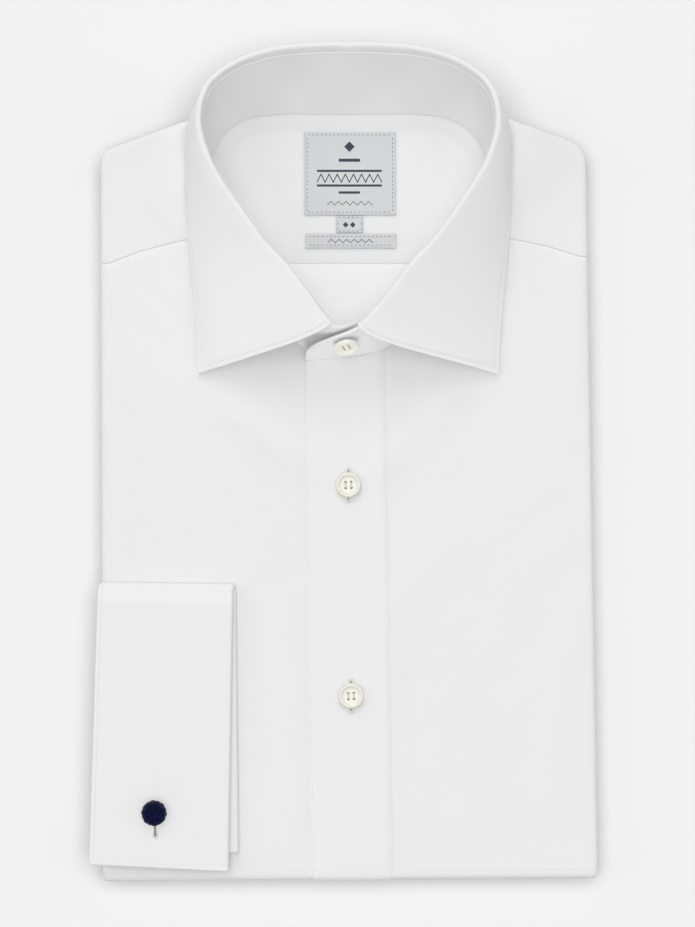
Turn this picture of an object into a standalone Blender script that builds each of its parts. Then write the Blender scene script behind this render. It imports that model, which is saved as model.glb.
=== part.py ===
"""A long sleeve dress shirt folded for the shelf, one closed solid for each cut and sewn piece.

The shirt lies face up with its collar standing at the +Y end. Its upper stack of cloth is bent round
the -Y end to become the lower stack, which it rests on. One turned-back cuff lies on the fronts.
Sizes are in millimetres here, and add_piece turns them into metres. X is 0 at the middle of the
collar, Y is 0 near the middle of the shirt, and Z is 0 on the surface under it.
"""

import math

import bmesh
import bpy
import numpy as np

MM = 0.001

# Cloth and seams
WALL = 1.2
SEAM_GAP = 0.3
LABEL_WALL = 0.8

# The folded stack
STACK_HEIGHT = 18.0
HALF_STACK = STACK_HEIGHT / 2.0
CORE_GAP = 0.8
LOWER_FOLDS = (
    # bottom height, set in from the sides, set in from the shoulders
    (0.0, 0.9, 12.0),
    (4.4, 0.3, 7.0),
)
LOWER_FOLD_ROUND = 2.15
CORE_STEP = (13.0, 16.0, 6.0)
BODY_COLUMNS = 13
BODY_ROWS = np.concatenate([np.linspace(0, 0.96, 12), (0.992, 1.0)])
FRONT_ROWS = np.concatenate([(0.0, 0.04), np.linspace(0.1, 1.0, 13)])
YOKE_COLUMNS = 36
ROLL_OUT = 4.0
ROLL_HALF_HEIGHT = 4.35
BEND_OUT = 6.0
CORNER_ROUND = 1.5
TUCK_IN = 6.0
YOKE_TUCK_IN = 1.5
ROLL_ANGLES = (30.0, 60.0, 90.0, 120.0, 150.0, 180.0)
LEFT_SIDE_TOP, LEFT_SIDE_BOTTOM = -111.8, -110.9
RIGHT_SIDE_TOP, RIGHT_SIDE_BOTTOM = 107.3, 112.6
SIDE_TOP_Y, SIDE_BOTTOM_Y = 138.0, -182.0
HEM_LEFT_Y, HEM_RIGHT_Y = -189.6, -188.2
# The line over the shoulders and behind the neck
SHOULDER_LINE = (
    # x, y
    (-112.0, 139.4),
    (-106.0, 141.2),
    (-90.0, 147.0),
    (-70.7, 153.9),
    (-54.0, 159.8),
    (-36.0, 164.0),
    (0.0, 166.0),
    (36.0, 164.0),
    (54.0, 160.2),
    (69.7, 154.9),
    (81.0, 151.0),
    (95.7, 145.6),
    (103.8, 141.6),
    (107.5, 138.5),
)
# Where each front is sewn to the yoke: y at even steps from the neck out to the rounded side
LEFT_SEAM_Y = (103.6, 101.0, 97.9, 94.2, 88.8)
RIGHT_SEAM_Y = (104.2, 101.9, 99.6, 96.8, 92.4)
NECK_POINT = 51.0
NECK_MIDDLE = (0.0, 120.0)
NECK_SAMPLES = 400
NECK_BACK_Y = 137.0
YOKE_NECK_LEDGE = 1.5
FRONT_NECK_LEDGE = 2.6
FRONT_NECK_X = (42.0, 34.0, 26.0, 18.0, 10.0)

# Soft lifts of the cloth over the stack: crown first, then folds along short lines
CROWN = 1.2
CROWN_HALF_WIDTH, CROWN_HALF_LENGTH = 112.0, 182.0
SOFT_FOLDS = (
    # start_x, start_y, end_x, end_y, height, half_width
    (-72.0, 34.0, -22.0, -2.0, 0.55, 9.0),
    (-96.0, 60.0, -40.0, 30.0, -0.35, 10.0),
    (34.0, 30.0, 66.0, -34.0, 0.50, 10.0),
    (60.0, 20.0, 98.0, -48.0, -0.45, 11.0),
    (30.0, -60.0, 70.0, -150.0, 0.40, 13.0),
    (-88.0, 118.0, -70.0, 104.0, -0.40, 7.0),
    (82.0, 116.0, 76.0, 104.0, -0.45, 7.0),
)

# Collar: one row for each station from the middle of the back to the front
STAND_WALL = 1.4
LEAF_WALL = 1.2
SEAT_Z = 19.0
COLLAR_ROWS = (
    # top_x, top_y, top_z, seat_x, seat_y, edge_x, edge_y, edge_z
    (0.0, 181.3, 42.0, 0.0, 156.4, 0.0, 179.0, 6.0),
    (14.4, 181.0, 42.2, 13.5, 156.4, 15.0, 178.8, 6.0),
    (35.1, 178.5, 43.5, 33.5, 156.2, 36.0, 176.5, 6.5),
    (50.7, 172.6, 45.2, 47.5, 153.5, 53.0, 171.0, 8.0),
    (61.0, 163.8, 47.0, 56.8, 146.8, 66.0, 163.5, 12.0),
    (65.0, 150.6, 48.2, 62.0, 138.0, 72.0, 151.0, 19.2),
    (61.5, 133.7, 48.6, 62.5, 126.0, 73.0, 129.0, 19.4),
    (48.5, 111.7, 48.2, 54.5, 108.5, 72.2, 102.0, 19.4),
    (37.4, 96.4, 47.6, 44.0, 92.5, 70.7, 83.0, 19.4),
    (27.6, 85.6, 47.2, 35.5, 78.0, 69.2, 67.0, 19.4),
    (19.9, 75.1, 46.8, 27.5, 65.0, 68.4, 55.0, 19.4),
    (4.9, 59.1, 46.0, 14.5, 50.2, 67.6, 38.6, 19.4),
)
# The stand goes on past the middle of the front, where its ends lie one on the other
OUTER_TAB_ROWS = (
    # top_x, top_y, top_z, seat_x, seat_y
    (-7.7, 54.2, 41.0, -7.8, 46.4),
    (-15.3, 51.2, 36.0, -15.5, 45.8),
    (-18.9, 48.6, 30.0, -19.3, 45.4),
)
INNER_TAB_ROWS = (
    # top_x, top_y, top_z, seat_x, seat_y
    (-2.0, 60.6, 42.5, -2.0, 50.8),
    (-4.5, 62.4, 39.0, -9.0, 52.2),
)
STAND_STATIONS = 52
STAND_LEVELS = 4
LEAF_STATIONS = 46
LEAF_RIGHT_SET_BACK = 4.5
LEAF_ROLL_RISE = 2.2
LEAF_ROLL_RADIUS = 0.9
LEAF_ROLL_STEPS = 4
LEAF_FALL_STEPS = 6
LEAF_FIRST_PULL, LEAF_SECOND_PULL = 0.2, 0.36
LEAF_DROP, LEAF_SAG = 1.6, 1.5
LEAF_SAG_LENGTH = 60.0

# Front band
BAND_WALL = 1.4
BAND_LEFT_TOP, BAND_LEFT_BOTTOM = -19.3, -16.7
BAND_RIGHT_TOP, BAND_RIGHT_BOTTOM = 14.9, 18.6
BAND_TOP_GAP_LEFT, BAND_TOP_GAP_RIGHT = 1.5, 2.4
BAND_ROWS = 19
FRONT_MEET_X = -1.0
BAND_END_ANGLE = 130.0

# Turned-back cuff: two half girths, each of two layers, flat on the fronts
CUFF_WALL = 1.2
CUFF_HOLLOW = 1.6
CUFF_FREE_TOP, CUFF_FREE_BOTTOM = -112.4, -116.3
CUFF_UNDER_FREE = -107.6
CUFF_SEAM_X = -104.4
CUFF_HAND = (
    # share of the girth from the upper end, x of the hand edge
    (0.0, -53.7),
    (0.5, -51.7),
    (0.54, -50.5),
    (1.0, -49.3),
)
CUFF_FOLD_Y_LEFT, CUFF_FOLD_Y_RIGHT = -54.5, -55.2
CUFF_END_Y_LEFT, CUFF_END_Y_RIGHT = -181.4, -184.4
CUFF_UNDER_END_Y = -176.2
SLEEVE_WALL = 1.4
SLEEVE_Y_TOP, SLEEVE_Y_BOTTOM = -58.5, -177.5
SLEEVE_TUCK_ANGLE = 135.0

# Buttons, cufflink and labels
BUTTON_PROFILE = (
    # radius, height
    (4.4, 0.0),
    (5.4, 0.5),
    (5.7, 1.2),
    (5.4, 2.0),
    (4.8, 2.3),
    (4.0, 1.9),
    (3.4, 1.6),
)
BUTTON_SEGMENTS = 16
BUTTON_HOLE_RADIUS = 0.65
BUTTON_HOLE_SPREAD = 1.25
BUTTON_HOLE_SEGMENTS = 8
BUTTON_DRILL_LOW, BUTTON_DRILL_HIGH = -1.0, 3.5
FRONT_BUTTONS = ((0.0, -11.0), (1.2, -105.8))
COLLAR_BUTTON_LEVEL = 0.69
COLLAR_BUTTON_LEAN, COLLAR_BUTTON_SHANK = 0.2, 1.1
COLLAR_BUTTON_X = -1.8
KNOT_RADIUS = 5.8
KNOT_WAVE = 0.035
KNOT_STRANDS, KNOT_TWIST = 4, 5.0
KNOT_X, KNOT_Y = -86.7, -156.8
BAR_RADIUS = 0.5
BAR_ENTRY_X, BAR_ENTRY_Y = -86.4, -169.1
LABELS = (
    # name, x_low, x_high, y_low, y_high
    ("label_main", -20.0, 21.3, 110.5, 148.0),
    ("label_size", -5.5, 6.6, 102.6, 110.1),
    ("label_strip", -19.6, 21.6, 95.6, 102.2),
)

# Inner pieces seen through the neck
INNER_TOP_Z = 16.2
INNER_LEFT, INNER_RIGHT = -66.0, 66.0
INNER_SEAM_Y = 89.0
INNER_BACK_Y = 157.0
INNER_BACK_INSET = 7.5
INNER_FRONT_Y = 34.0
INNER_COLUMNS, INNER_ROWS = 13, 8
RECESS_X, RECESS_Y = 90.0, -4.0
RECESS_SLOPE = 8.0

COLOURS = {
    # finish: red, green, blue, roughness
    "cloth": (0.86, 0.86, 0.87, 0.85),
    "label": (0.62, 0.63, 0.65, 0.7),
    "button": (0.82, 0.80, 0.70, 0.3),
    "silk": (0.008, 0.02, 0.07, 0.6),
    "metal": (0.6, 0.6, 0.6, 0.3),
}


def smooth(xs, ys, x):
    """Cubic Hermite curve through a short table, with slopes taken from the neighbouring rows."""
    xs = np.asarray(xs, float)
    ys = np.asarray(ys, float)
    x = np.clip(np.asarray(x, float), xs[0], xs[-1])
    slopes = np.gradient(ys, xs, axis=0)
    row = np.clip(np.searchsorted(xs, x, side="right") - 1, 0, len(xs) - 2)
    span = xs[row + 1] - xs[row]
    t = (x - xs[row]) / span
    if ys.ndim > 1:
        t, span = t[..., None], span[..., None]
    start = (1 + 2 * t) * (1 - t) ** 2 * ys[row] + t * (1 - t) ** 2 * span * slopes[row]
    end = t * t * (3 - 2 * t) * ys[row + 1] + t * t * (t - 1) * span * slopes[row + 1]
    return start + end


def column(rows, index):
    """One column of a table."""
    return np.array([row[index] for row in rows], float)


def unit(vectors):
    """Vectors of length one."""
    return vectors / np.maximum(np.linalg.norm(vectors, axis=-1, keepdims=True), 1e-9)


def relief(x, y):
    """Lift of the cloth: a low crown and a few soft folds, each a bell across its own line."""
    lift = CROWN * np.clip(1 - (x / CROWN_HALF_WIDTH) ** 2, 0, 1)
    lift = lift * np.clip(1 - (y / CROWN_HALF_LENGTH) ** 2, 0, 1)
    for start_x, start_y, end_x, end_y, height, half_width in SOFT_FOLDS:
        along_x, along_y = end_x - start_x, end_y - start_y
        length = math.hypot(along_x, along_y)
        along = ((x - start_x) * along_x + (y - start_y) * along_y) / length
        across = ((x - start_x) * along_y - (y - start_y) * along_x) / length
        past = np.maximum(np.maximum(-along, along - length), 0)
        lift = lift + height * np.exp(-(across / half_width) ** 2 - (past / (1.5 * half_width)) ** 2)
    return lift


def settle(points):
    """Shift points up by the relief, in full on the stack and less the lower they lie in it."""
    points = np.array(points, float)
    share = np.clip(points[..., 2] / STACK_HEIGHT, 0, 1)
    points[..., 2] += relief(points[..., 0], points[..., 1]) * share
    return points


def left_side(y):
    """X of the outer edge at the left."""
    share = (np.asarray(y, float) - SIDE_TOP_Y) / (SIDE_BOTTOM_Y - SIDE_TOP_Y)
    return LEFT_SIDE_TOP + (LEFT_SIDE_BOTTOM - LEFT_SIDE_TOP) * share


def right_side(y):
    """X of the outer edge at the right."""
    share = (np.asarray(y, float) - SIDE_TOP_Y) / (SIDE_BOTTOM_Y - SIDE_TOP_Y)
    return RIGHT_SIDE_TOP + (RIGHT_SIDE_BOTTOM - RIGHT_SIDE_TOP) * share


def bend_line(x):
    """Y at which the stack starts to bend round its lower end."""
    share = (np.asarray(x, float) - LEFT_SIDE_BOTTOM) / (RIGHT_SIDE_BOTTOM - LEFT_SIDE_BOTTOM)
    return HEM_LEFT_Y + (HEM_RIGHT_Y - HEM_LEFT_Y) * share + BEND_OUT


def shoulder_line(x):
    """Y of the outer edge over the shoulders."""
    return smooth(column(SHOULDER_LINE, 0), column(SHOULDER_LINE, 1), x)


def side_roll(angle, depth):
    """Reach outwards and drop from the top of a rounded side, at a depth inside its surface."""
    reach = (ROLL_OUT - depth) * np.sin(angle)
    drop = ROLL_HALF_HEIGHT - (ROLL_HALF_HEIGHT - depth) * np.cos(angle)
    return reach, drop


def bottom_bend(drop, angle):
    """Reach outwards and height of a layer that far below the top, bent round the lower end."""
    radius = HALF_STACK - drop
    return BEND_OUT * radius / HALF_STACK * np.sin(angle), HALF_STACK + radius * np.cos(angle)


def seat_line(x):
    """Y of the seam at the foot of the collar, from the end of its tab to the shoulder."""
    rows = [(row[3], row[4]) for row in COLLAR_ROWS[7:] + OUTER_TAB_ROWS]
    rows.sort()
    return smooth(column(rows, 0), column(rows, 1), x)


def wall_mesh(outer, inner, closed=False):
    """Vertices and faces of a closed wall between two matching grids of points."""
    outer, inner = np.asarray(outer, float), np.asarray(inner, float)
    rows, cols = outer.shape[:2]
    index = np.arange(rows * cols).reshape(rows, cols)
    below = index + rows * cols
    next_row = np.roll(index, -1, 0) if closed else index[1:]
    this_row = index if closed else index[:-1]
    next_below = np.roll(below, -1, 0) if closed else below[1:]
    this_below = below if closed else below[:-1]

    def quads(a, b, c, d):
        return np.stack([a.ravel(), b.ravel(), c.ravel(), d.ravel()], 1)

    parts = [
        quads(this_row[:, :-1], next_row[:, :-1], next_row[:, 1:], this_row[:, 1:]),
        quads(this_below[:, :-1], this_below[:, 1:], next_below[:, 1:], next_below[:, :-1]),
        quads(this_row[:, 0], this_below[:, 0], next_below[:, 0], next_row[:, 0]),
        quads(this_row[:, -1], next_row[:, -1], next_below[:, -1], this_below[:, -1]),
    ]
    if not closed:
        parts.append(quads(index[0, :-1], index[0, 1:], below[0, 1:], below[0, :-1]))
        parts.append(quads(index[-1, :-1], below[-1, :-1], below[-1, 1:], index[-1, 1:]))
    vertices = np.concatenate([outer.reshape(-1, 3), inner.reshape(-1, 3)])
    return vertices, np.concatenate(parts).tolist()


def loft_mesh(loops, cap_grid=None):
    """Vertices and faces of a solid through closed loops, with flat ends or a grid for its last end."""
    count = len(loops[0])
    vertices = [tuple(point) for loop in loops for point in loop]
    faces = []
    for level in range(len(loops) - 1):
        low, high = level * count, (level + 1) * count
        for k in range(count):
            after = (k + 1) % count
            faces.append((low + k, low + after, high + after, high + k))
    faces.append(tuple(range(count - 1, -1, -1)))
    last = (len(loops) - 1) * count
    if cap_grid is None:
        faces.append(tuple(range(last, last + count)))
        return np.array(vertices), faces
    rows, cols = cap_grid.shape[:2]
    index = np.full((rows, cols), -1)
    edge = list(range(last, last + count))
    index[0, :] = edge[:cols]
    index[:, -1] = edge[cols - 1:cols - 1 + rows]
    index[-1, ::-1] = edge[cols + rows - 2:2 * cols + rows - 2]
    index[1:-1, 0] = edge[2 * cols + rows - 2:][::-1]
    for i in range(1, rows - 1):
        for j in range(1, cols - 1):
            index[i, j] = len(vertices)
            vertices.append(tuple(cap_grid[i, j]))
    for i in range(rows - 1):
        for j in range(cols - 1):
            faces.append((index[i, j], index[i, j + 1], index[i + 1, j + 1], index[i + 1, j]))
    return np.array(vertices), [tuple(int(v) for v in face) for face in faces]


def finish(name):
    """The finish of one name from the colour table, made once."""
    found = bpy.data.materials.get(name)
    if found:
        return found
    red, green, blue, roughness = COLOURS[name]
    material = bpy.data.materials.new(name)
    material.use_nodes = True
    shader = material.node_tree.nodes["Principled BSDF"]
    shader.inputs["Base Color"].default_value = (red, green, blue, 1.0)
    shader.inputs["Roughness"].default_value = roughness
    shader.inputs["Metallic"].default_value = 1.0 if name == "metal" else 0.0
    return material


def add_piece(name, vertices, faces, finish_name="cloth"):
    """One named object from points in millimetres, its faces turned outwards."""
    mesh = bpy.data.meshes.new(name)
    mesh.from_pydata([tuple(v) for v in np.asarray(vertices) * MM], [], [tuple(f) for f in faces])
    shape = bmesh.new()
    shape.from_mesh(mesh)
    bmesh.ops.recalc_face_normals(shape, faces=shape.faces)
    shape.to_mesh(mesh)
    shape.free()
    mesh.shade_smooth()
    mesh.set_sharp_from_angle(angle=math.radians(40))
    mesh.materials.append(finish(finish_name))
    piece = bpy.data.objects.new(name, mesh)
    bpy.context.scene.collection.objects.link(piece)
    return piece


def add_guide(name, vertices, faces):
    """A cutter, which is not a piece of the shirt."""
    guide = add_piece(name, vertices, faces)
    guide.hide_render = True
    guide.display_type = "WIRE"
    return guide


def cut(piece, guide):
    """Cut the guide's shape out of the piece."""
    modifier = piece.modifiers.new("cut", "BOOLEAN")
    modifier.operation = "DIFFERENCE"
    modifier.solver = "EXACT"
    modifier.object = guide


def seam_knots(side, seam_y):
    """X and y of the yoke seam at even steps from the neck out to where the side starts to round."""
    edge = left_side if side < 0 else right_side
    start = edge(seam_y[-1]) - side * ROLL_OUT
    return np.linspace(side * NECK_POINT, start, len(seam_y)), np.array(seam_y)


def front_sheet(side, depth, shares, top_y):
    """Points of a front: flat on top, rolled under at its side, bent round the lower end.

    shares are places from the side to the middle, top_y the upper edge at each of them.
    """
    edge = left_side if side < 0 else right_side
    roll = np.radians((ROLL_ANGLES[-1], *ROLL_ANGLES[::-1]))
    share = np.concatenate([np.zeros(len(roll)), shares])
    tuck = np.zeros(len(share))
    tuck[0] = TUCK_IN
    top = np.concatenate([np.full(len(roll), top_y[0]), top_y])
    roll = np.concatenate([roll, np.zeros(len(shares))])
    bend_angles = np.radians(ROLL_ANGLES)
    bend = np.concatenate([np.zeros(len(FRONT_ROWS)), bend_angles])
    down = np.concatenate([FRONT_ROWS, np.ones(len(bend_angles))])
    reach, drop = side_roll(roll, depth)
    meet_x = FRONT_MEET_X + side * SEAM_GAP / 2
    low_x = edge(SIDE_BOTTOM_Y) - side * ROLL_OUT
    y_bend = bend_line(low_x + (meet_x - low_x) * share)
    y_flat = top[None, :] + (y_bend - top)[None, :] * down[:, None]
    side_x = edge(y_flat) - side * ROLL_OUT
    x = side_x + (meet_x - side_x) * share[None, :] + side * (reach - tuck)[None, :]
    forward, z = bottom_bend(drop[None, :], bend[:, None])
    return settle(np.stack([x, y_flat - forward, z], -1))


def add_front(name, side, seam_y):
    """One front panel, from the yoke seam and neck down and round the lower end."""
    seam_x, seam_y = seam_knots(side, seam_y)
    meet_x = FRONT_MEET_X + side * SEAM_GAP / 2
    neck_x = side * np.array(FRONT_NECK_X)
    neck_y = seat_line(np.append(np.abs(neck_x), 0.0)) + FRONT_NECK_LEDGE
    top_x = np.concatenate([seam_x[::-1], neck_x, [meet_x]])
    top_y = np.concatenate([seam_y[::-1] - SEAM_GAP, neck_y])
    shares = (top_x - top_x[0]) / (meet_x - top_x[0])
    outer = front_sheet(side, 0.0, shares, top_y)
    inner = front_sheet(side, WALL, shares, top_y)
    add_piece(name, *wall_mesh(outer, inner))


def bearings(points):
    """Angles of points about the middle of the neck, measured from straight down through the left."""
    return np.arctan2(-(points[:, 0] - NECK_MIDDLE[0]), -(points[:, 1] - NECK_MIDDLE[1])) % (2 * math.pi)


def neck_ring(edge, grow):
    """Points round the foot of the collar, one facing each point of the yoke's outer edge."""
    half = np.array([(row[3], row[4]) for row in COLLAR_ROWS[:8]])
    full = np.concatenate([(half * [-1, 1])[::-1], half[1:]])
    steps = np.linalg.norm(np.diff(full, axis=0), axis=1)
    travel = np.concatenate([[0], np.cumsum(steps)])
    dense = smooth(travel, full, np.linspace(0, travel[-1], NECK_SAMPLES))
    dense = dense[(np.abs(dense[:, 0]) > NECK_POINT) | (dense[:, 1] > NECK_BACK_Y)]
    tangent = unit(np.gradient(dense, axis=0))
    dense = dense + np.stack([-tangent[:, 1], tangent[:, 0]], -1) * grow
    own, asked = bearings(dense), bearings(edge)
    asked = own[0] + (asked - asked[0]) * (own[-1] - own[0]) / (asked[-1] - asked[0])
    return np.stack([np.interp(asked, own, dense[:, k]) for k in (0, 1)], -1)


def corner_points(start, end, turns, side):
    """Points round one rounded corner of the shoulders, between its two ends."""
    span_x, span_y = end[0] - start[0], end[1] - start[1]
    if side < 0:
        return [(end[0] - span_x * math.cos(a), start[1] + span_y * math.sin(a)) for a in turns]
    return [(start[0] + span_x * math.sin(a), end[1] - span_y * math.cos(a)) for a in turns]


def yoke_outline():
    """Points and outward directions round the yoke's outer edge, set in by the roll."""
    corner_y = SIDE_TOP_Y - CORNER_ROUND - ROLL_OUT
    turns = np.radians((15.0, 35.0, 55.0, 75.0))
    left_y = np.linspace(LEFT_SEAM_Y[-1], corner_y, 8)
    right_y = np.linspace(corner_y, RIGHT_SEAM_Y[-1], 8)
    left = np.stack([left_side(left_y) + ROLL_OUT, left_y], -1)
    right = np.stack([right_side(right_y) - ROLL_OUT, right_y], -1)
    top_x = np.linspace(left[-1, 0] + CORNER_ROUND, right[0, 0] - CORNER_ROUND, 60)
    top = np.stack([top_x, shoulder_line(top_x) - ROLL_OUT], -1)
    pieces = [
        left, corner_points(left[-1], top[0], turns, -1), top,
        corner_points(top[-1], right[0], turns, 1), right,
    ]
    path = np.concatenate(pieces)
    travel = np.concatenate([[0], np.cumsum(np.linalg.norm(np.diff(path, axis=0), axis=1))])
    tangent = unit(np.gradient(path, travel, axis=0))
    outward = np.stack([-tangent[:, 1], tangent[:, 0]], -1)
    counts = np.cumsum([len(piece) for piece in pieces])
    corners = travel[[counts[0] - 1, counts[1], counts[2] - 1, counts[3]]]
    side_columns, corner_columns = 5, 4
    top_columns = YOKE_COLUMNS - 2 * (side_columns + corner_columns) + 4
    places = np.concatenate([
        np.linspace(0, corners[0], side_columns),
        np.linspace(corners[0], corners[1], corner_columns)[1:],
        np.linspace(corners[1], corners[2], top_columns)[1:],
        np.linspace(corners[2], corners[3], corner_columns)[1:],
        np.linspace(corners[3], travel[-1], side_columns)[1:],
    ])
    points = np.stack([np.interp(places, travel, path[:, k]) for k in (0, 1)], -1)
    normals = np.stack([np.interp(places, travel, outward[:, k]) for k in (0, 1)], -1)
    return points, unit(normals)


def yoke_sheet(depth):
    """Points of the yoke from the neck out to its edge, then rolled under all round."""
    edge, outward = yoke_outline()
    neck = neck_ring(edge, -YOKE_NECK_LEDGE)
    shares = np.linspace(0, 1, len(LEFT_SEAM_Y))
    flat = neck[:, None, :] + (edge - neck)[:, None, :] * shares[None, :, None]
    reach, drop = side_roll(np.radians(ROLL_ANGLES), depth)
    rolled = edge[:, None, :] + outward[:, None, :] * reach[None, :, None]
    tucked = edge[:, None, :] - outward[:, None, :] * YOKE_TUCK_IN
    plan = np.concatenate([flat, rolled, tucked], 1)
    drops = np.concatenate([np.full(len(shares), depth), drop, drop[-1:]])
    z = np.broadcast_to(STACK_HEIGHT - drops, plan.shape[:2])
    for row, side, seam_y in ((0, -1, LEFT_SEAM_Y), (-1, 1, RIGHT_SEAM_Y)):
        seam_x, seam_y = seam_knots(side, seam_y)
        plan[row, :len(seam_x), 0] = seam_x
        plan[row, :, 1] = np.interp(np.abs(plan[row, :, 0]), np.abs(seam_x), seam_y)
    return settle(np.concatenate([plan, z[..., None]], -1))


def add_yoke():
    """The outer yoke, over both shoulders and behind the neck."""
    add_piece("yoke_outer", *wall_mesh(yoke_sheet(0.0), yoke_sheet(WALL)))


def body_loop(side_in, top_in, bottom_in, z, cols):
    """One closed loop round the folded stack, set in from its sides and its two ends."""
    share = np.linspace(0, 1, cols)
    up = BODY_ROWS[:, None]
    left_low, right_low = LEFT_SIDE_BOTTOM + side_in, RIGHT_SIDE_BOTTOM - side_in
    left_high, right_high = LEFT_SIDE_TOP + side_in, RIGHT_SIDE_TOP - side_in
    bottom_x = left_low + (right_low - left_low) * share
    top_x = left_high + (right_high - left_high) * share
    top_x[0], top_x[-1] = top_x[0] + CORNER_ROUND, top_x[-1] - CORNER_ROUND
    top_y = shoulder_line(top_x) - top_in
    top_y[0], top_y[-1] = top_y[0] - CORNER_ROUND, top_y[-1] - CORNER_ROUND
    bottom = np.stack([bottom_x, bend_line(bottom_x) + bottom_in], -1)
    top = np.stack([top_x, top_y], -1)
    right = bottom[-1] + (top[-1] - bottom[-1]) * up
    left = bottom[0] + (top[0] - bottom[0]) * up
    right[1:-1, 0] = right_low + (right_high - right_low) * up[1:-1, 0]
    left[1:-1, 0] = left_low + (left_high - left_low) * up[1:-1, 0]
    plan = np.concatenate([bottom, right[1:], top[::-1][1:], left[::-1][1:-1]])
    return np.concatenate([plan, np.full((len(plan), 1), z)], -1)


def loop_sides(loop, cols, rows):
    """The four sides of a loop as bottom, right, top and left, each from its low x or low y end."""
    bottom, right = loop[:cols], loop[cols - 1:cols - 1 + rows]
    top = loop[cols + rows - 2:2 * cols + rows - 2][::-1]
    left = np.concatenate([loop[:1], loop[2 * cols + rows - 2:][::-1], top[:1]])
    return bottom, right, top, left


def body_levels():
    """Insets from side, top end and bottom end, with the height, from the floor up."""
    levels = []
    for low, side_in, top_in in LOWER_FOLDS:
        for angle in np.radians((0.0, 45.0, 90.0, 135.0, 180.0)):
            bulge = LOWER_FOLD_ROUND * (1 - math.sin(angle))
            z = low + LOWER_FOLD_ROUND * (1 - math.cos(angle))
            levels.append((side_in + bulge, top_in + bulge, SEAM_GAP + 0.3 * bulge, z))
    core_depth = WALL + CORE_GAP
    core_low = STACK_HEIGHT - 2 * ROLL_HALF_HEIGHT + core_depth
    for z in (levels[-1][3], core_low):
        levels.append((*CORE_STEP, z))
    for angle in np.radians((180.0, 135.0, 90.0, 45.0, 0.0)):
        reach, drop = side_roll(angle, core_depth)
        levels.append((ROLL_OUT - reach, ROLL_OUT - reach, ROLL_OUT - reach, STACK_HEIGHT - drop))
    return levels


def add_body_fold():
    """The hidden layers as one solid: two lower folds, and the core inside the fronts and yoke."""
    cols, rows = BODY_COLUMNS, len(BODY_ROWS)
    levels = body_levels()
    loops = [body_loop(*level, cols) for level in levels]
    bottom, right, top, left = loop_sides(loops[-1], cols, rows)
    s, u = np.linspace(0, 1, cols)[None, :, None], BODY_ROWS[:, None, None]
    grid = (1 - u) * bottom[None] + u * top[None] + (1 - s) * left[:, None] + s * right[:, None]
    grid = grid - (1 - u) * ((1 - s) * bottom[0] + s * bottom[-1])
    grid = grid - u * ((1 - s) * top[0] + s * top[-1])
    recess_x = np.clip((RECESS_X - np.abs(grid[..., 0])) / RECESS_SLOPE, 0, 1)
    recess_y = np.clip((grid[..., 1] - RECESS_Y) / RECESS_SLOPE, 0, 1)
    grid[1:-1, 1:-1, 2] -= ((WALL + CORE_GAP) * recess_x * recess_y)[1:-1, 1:-1]
    add_piece("body_fold", *loft_mesh([settle(loop) for loop in loops], settle(grid)))


def flat_sheet(x, y, top_z, wall):
    """Outer and inner grids of a piece lying in the stack, from matching arrays of x and y."""
    outer = settle(np.stack([x, y, np.full(x.shape, top_z)], -1))
    inner = settle(np.stack([x, y, np.full(x.shape, top_z - wall)], -1))
    return outer, inner


def add_inner_pieces():
    """The inner yoke and the back below it, seen through the neck."""
    across = np.linspace(INNER_LEFT, INNER_RIGHT, INNER_COLUMNS)
    back_y = np.minimum(INNER_BACK_Y, shoulder_line(across) - INNER_BACK_INSET)
    up = np.linspace(0, 1, INNER_ROWS)[:, None]
    x = np.broadcast_to(across, (INNER_ROWS, INNER_COLUMNS))
    y = INNER_SEAM_Y + SEAM_GAP + (back_y[None] - INNER_SEAM_Y - SEAM_GAP) * up
    add_piece("yoke_inside", *wall_mesh(*flat_sheet(x, y, INNER_TOP_Z, WALL)))
    y = np.broadcast_to(INNER_FRONT_Y + (INNER_SEAM_Y - INNER_FRONT_Y) * up, x.shape)
    add_piece("back_inside", *wall_mesh(*flat_sheet(x, y, INNER_TOP_Z, WALL)))


def add_labels():
    """The three woven labels on the inner yoke."""
    for name, x_low, x_high, y_low, y_high in LABELS:
        x, y = np.meshgrid(np.linspace(x_low, x_high, 5), np.linspace(y_low, y_high, 4))
        top = INNER_TOP_Z + SEAM_GAP + LABEL_WALL
        add_piece(name, *wall_mesh(*flat_sheet(x, y, top, LABEL_WALL)), "label")


def collar_side(tab_rows):
    """Rows from the middle of the back to the end of one tab, with the travel along their top."""
    leaf_end = COLLAR_ROWS[-1][5:]
    rows = np.array(COLLAR_ROWS + tuple((*row, *leaf_end) for row in tab_rows))
    steps = np.linalg.norm(np.diff(rows[:, :3], axis=0), axis=1)
    return np.concatenate([[0], np.cumsum(steps)]), rows


def collar_table():
    """Travel and rows of the whole ring, from the inner tab round the back to the outer tab."""
    inner_travel, inner_rows = collar_side(INNER_TAB_ROWS)
    outer_travel, outer_rows = collar_side(OUTER_TAB_ROWS)
    mirrored = inner_rows * [-1, 1, 1, -1, 1, -1, 1, 1]
    travel = np.concatenate([-inner_travel[:0:-1], outer_travel])
    return travel, np.concatenate([mirrored[:0:-1], outer_rows])


def collar_stations(places):
    """Top, seat and leaf edge of the collar at places along its top."""
    rows = smooth(*collar_table(), places)
    seat = np.stack([rows[:, 3], rows[:, 4], np.full(len(rows), SEAT_Z)], -1)
    return rows[:, 0:3], seat, rows[:, 5:8]


def surface_normals(grid):
    """Unit normals of a grid of points, from its neighbours."""
    return unit(np.cross(np.gradient(grid, axis=0), np.gradient(grid, axis=1)))


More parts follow.
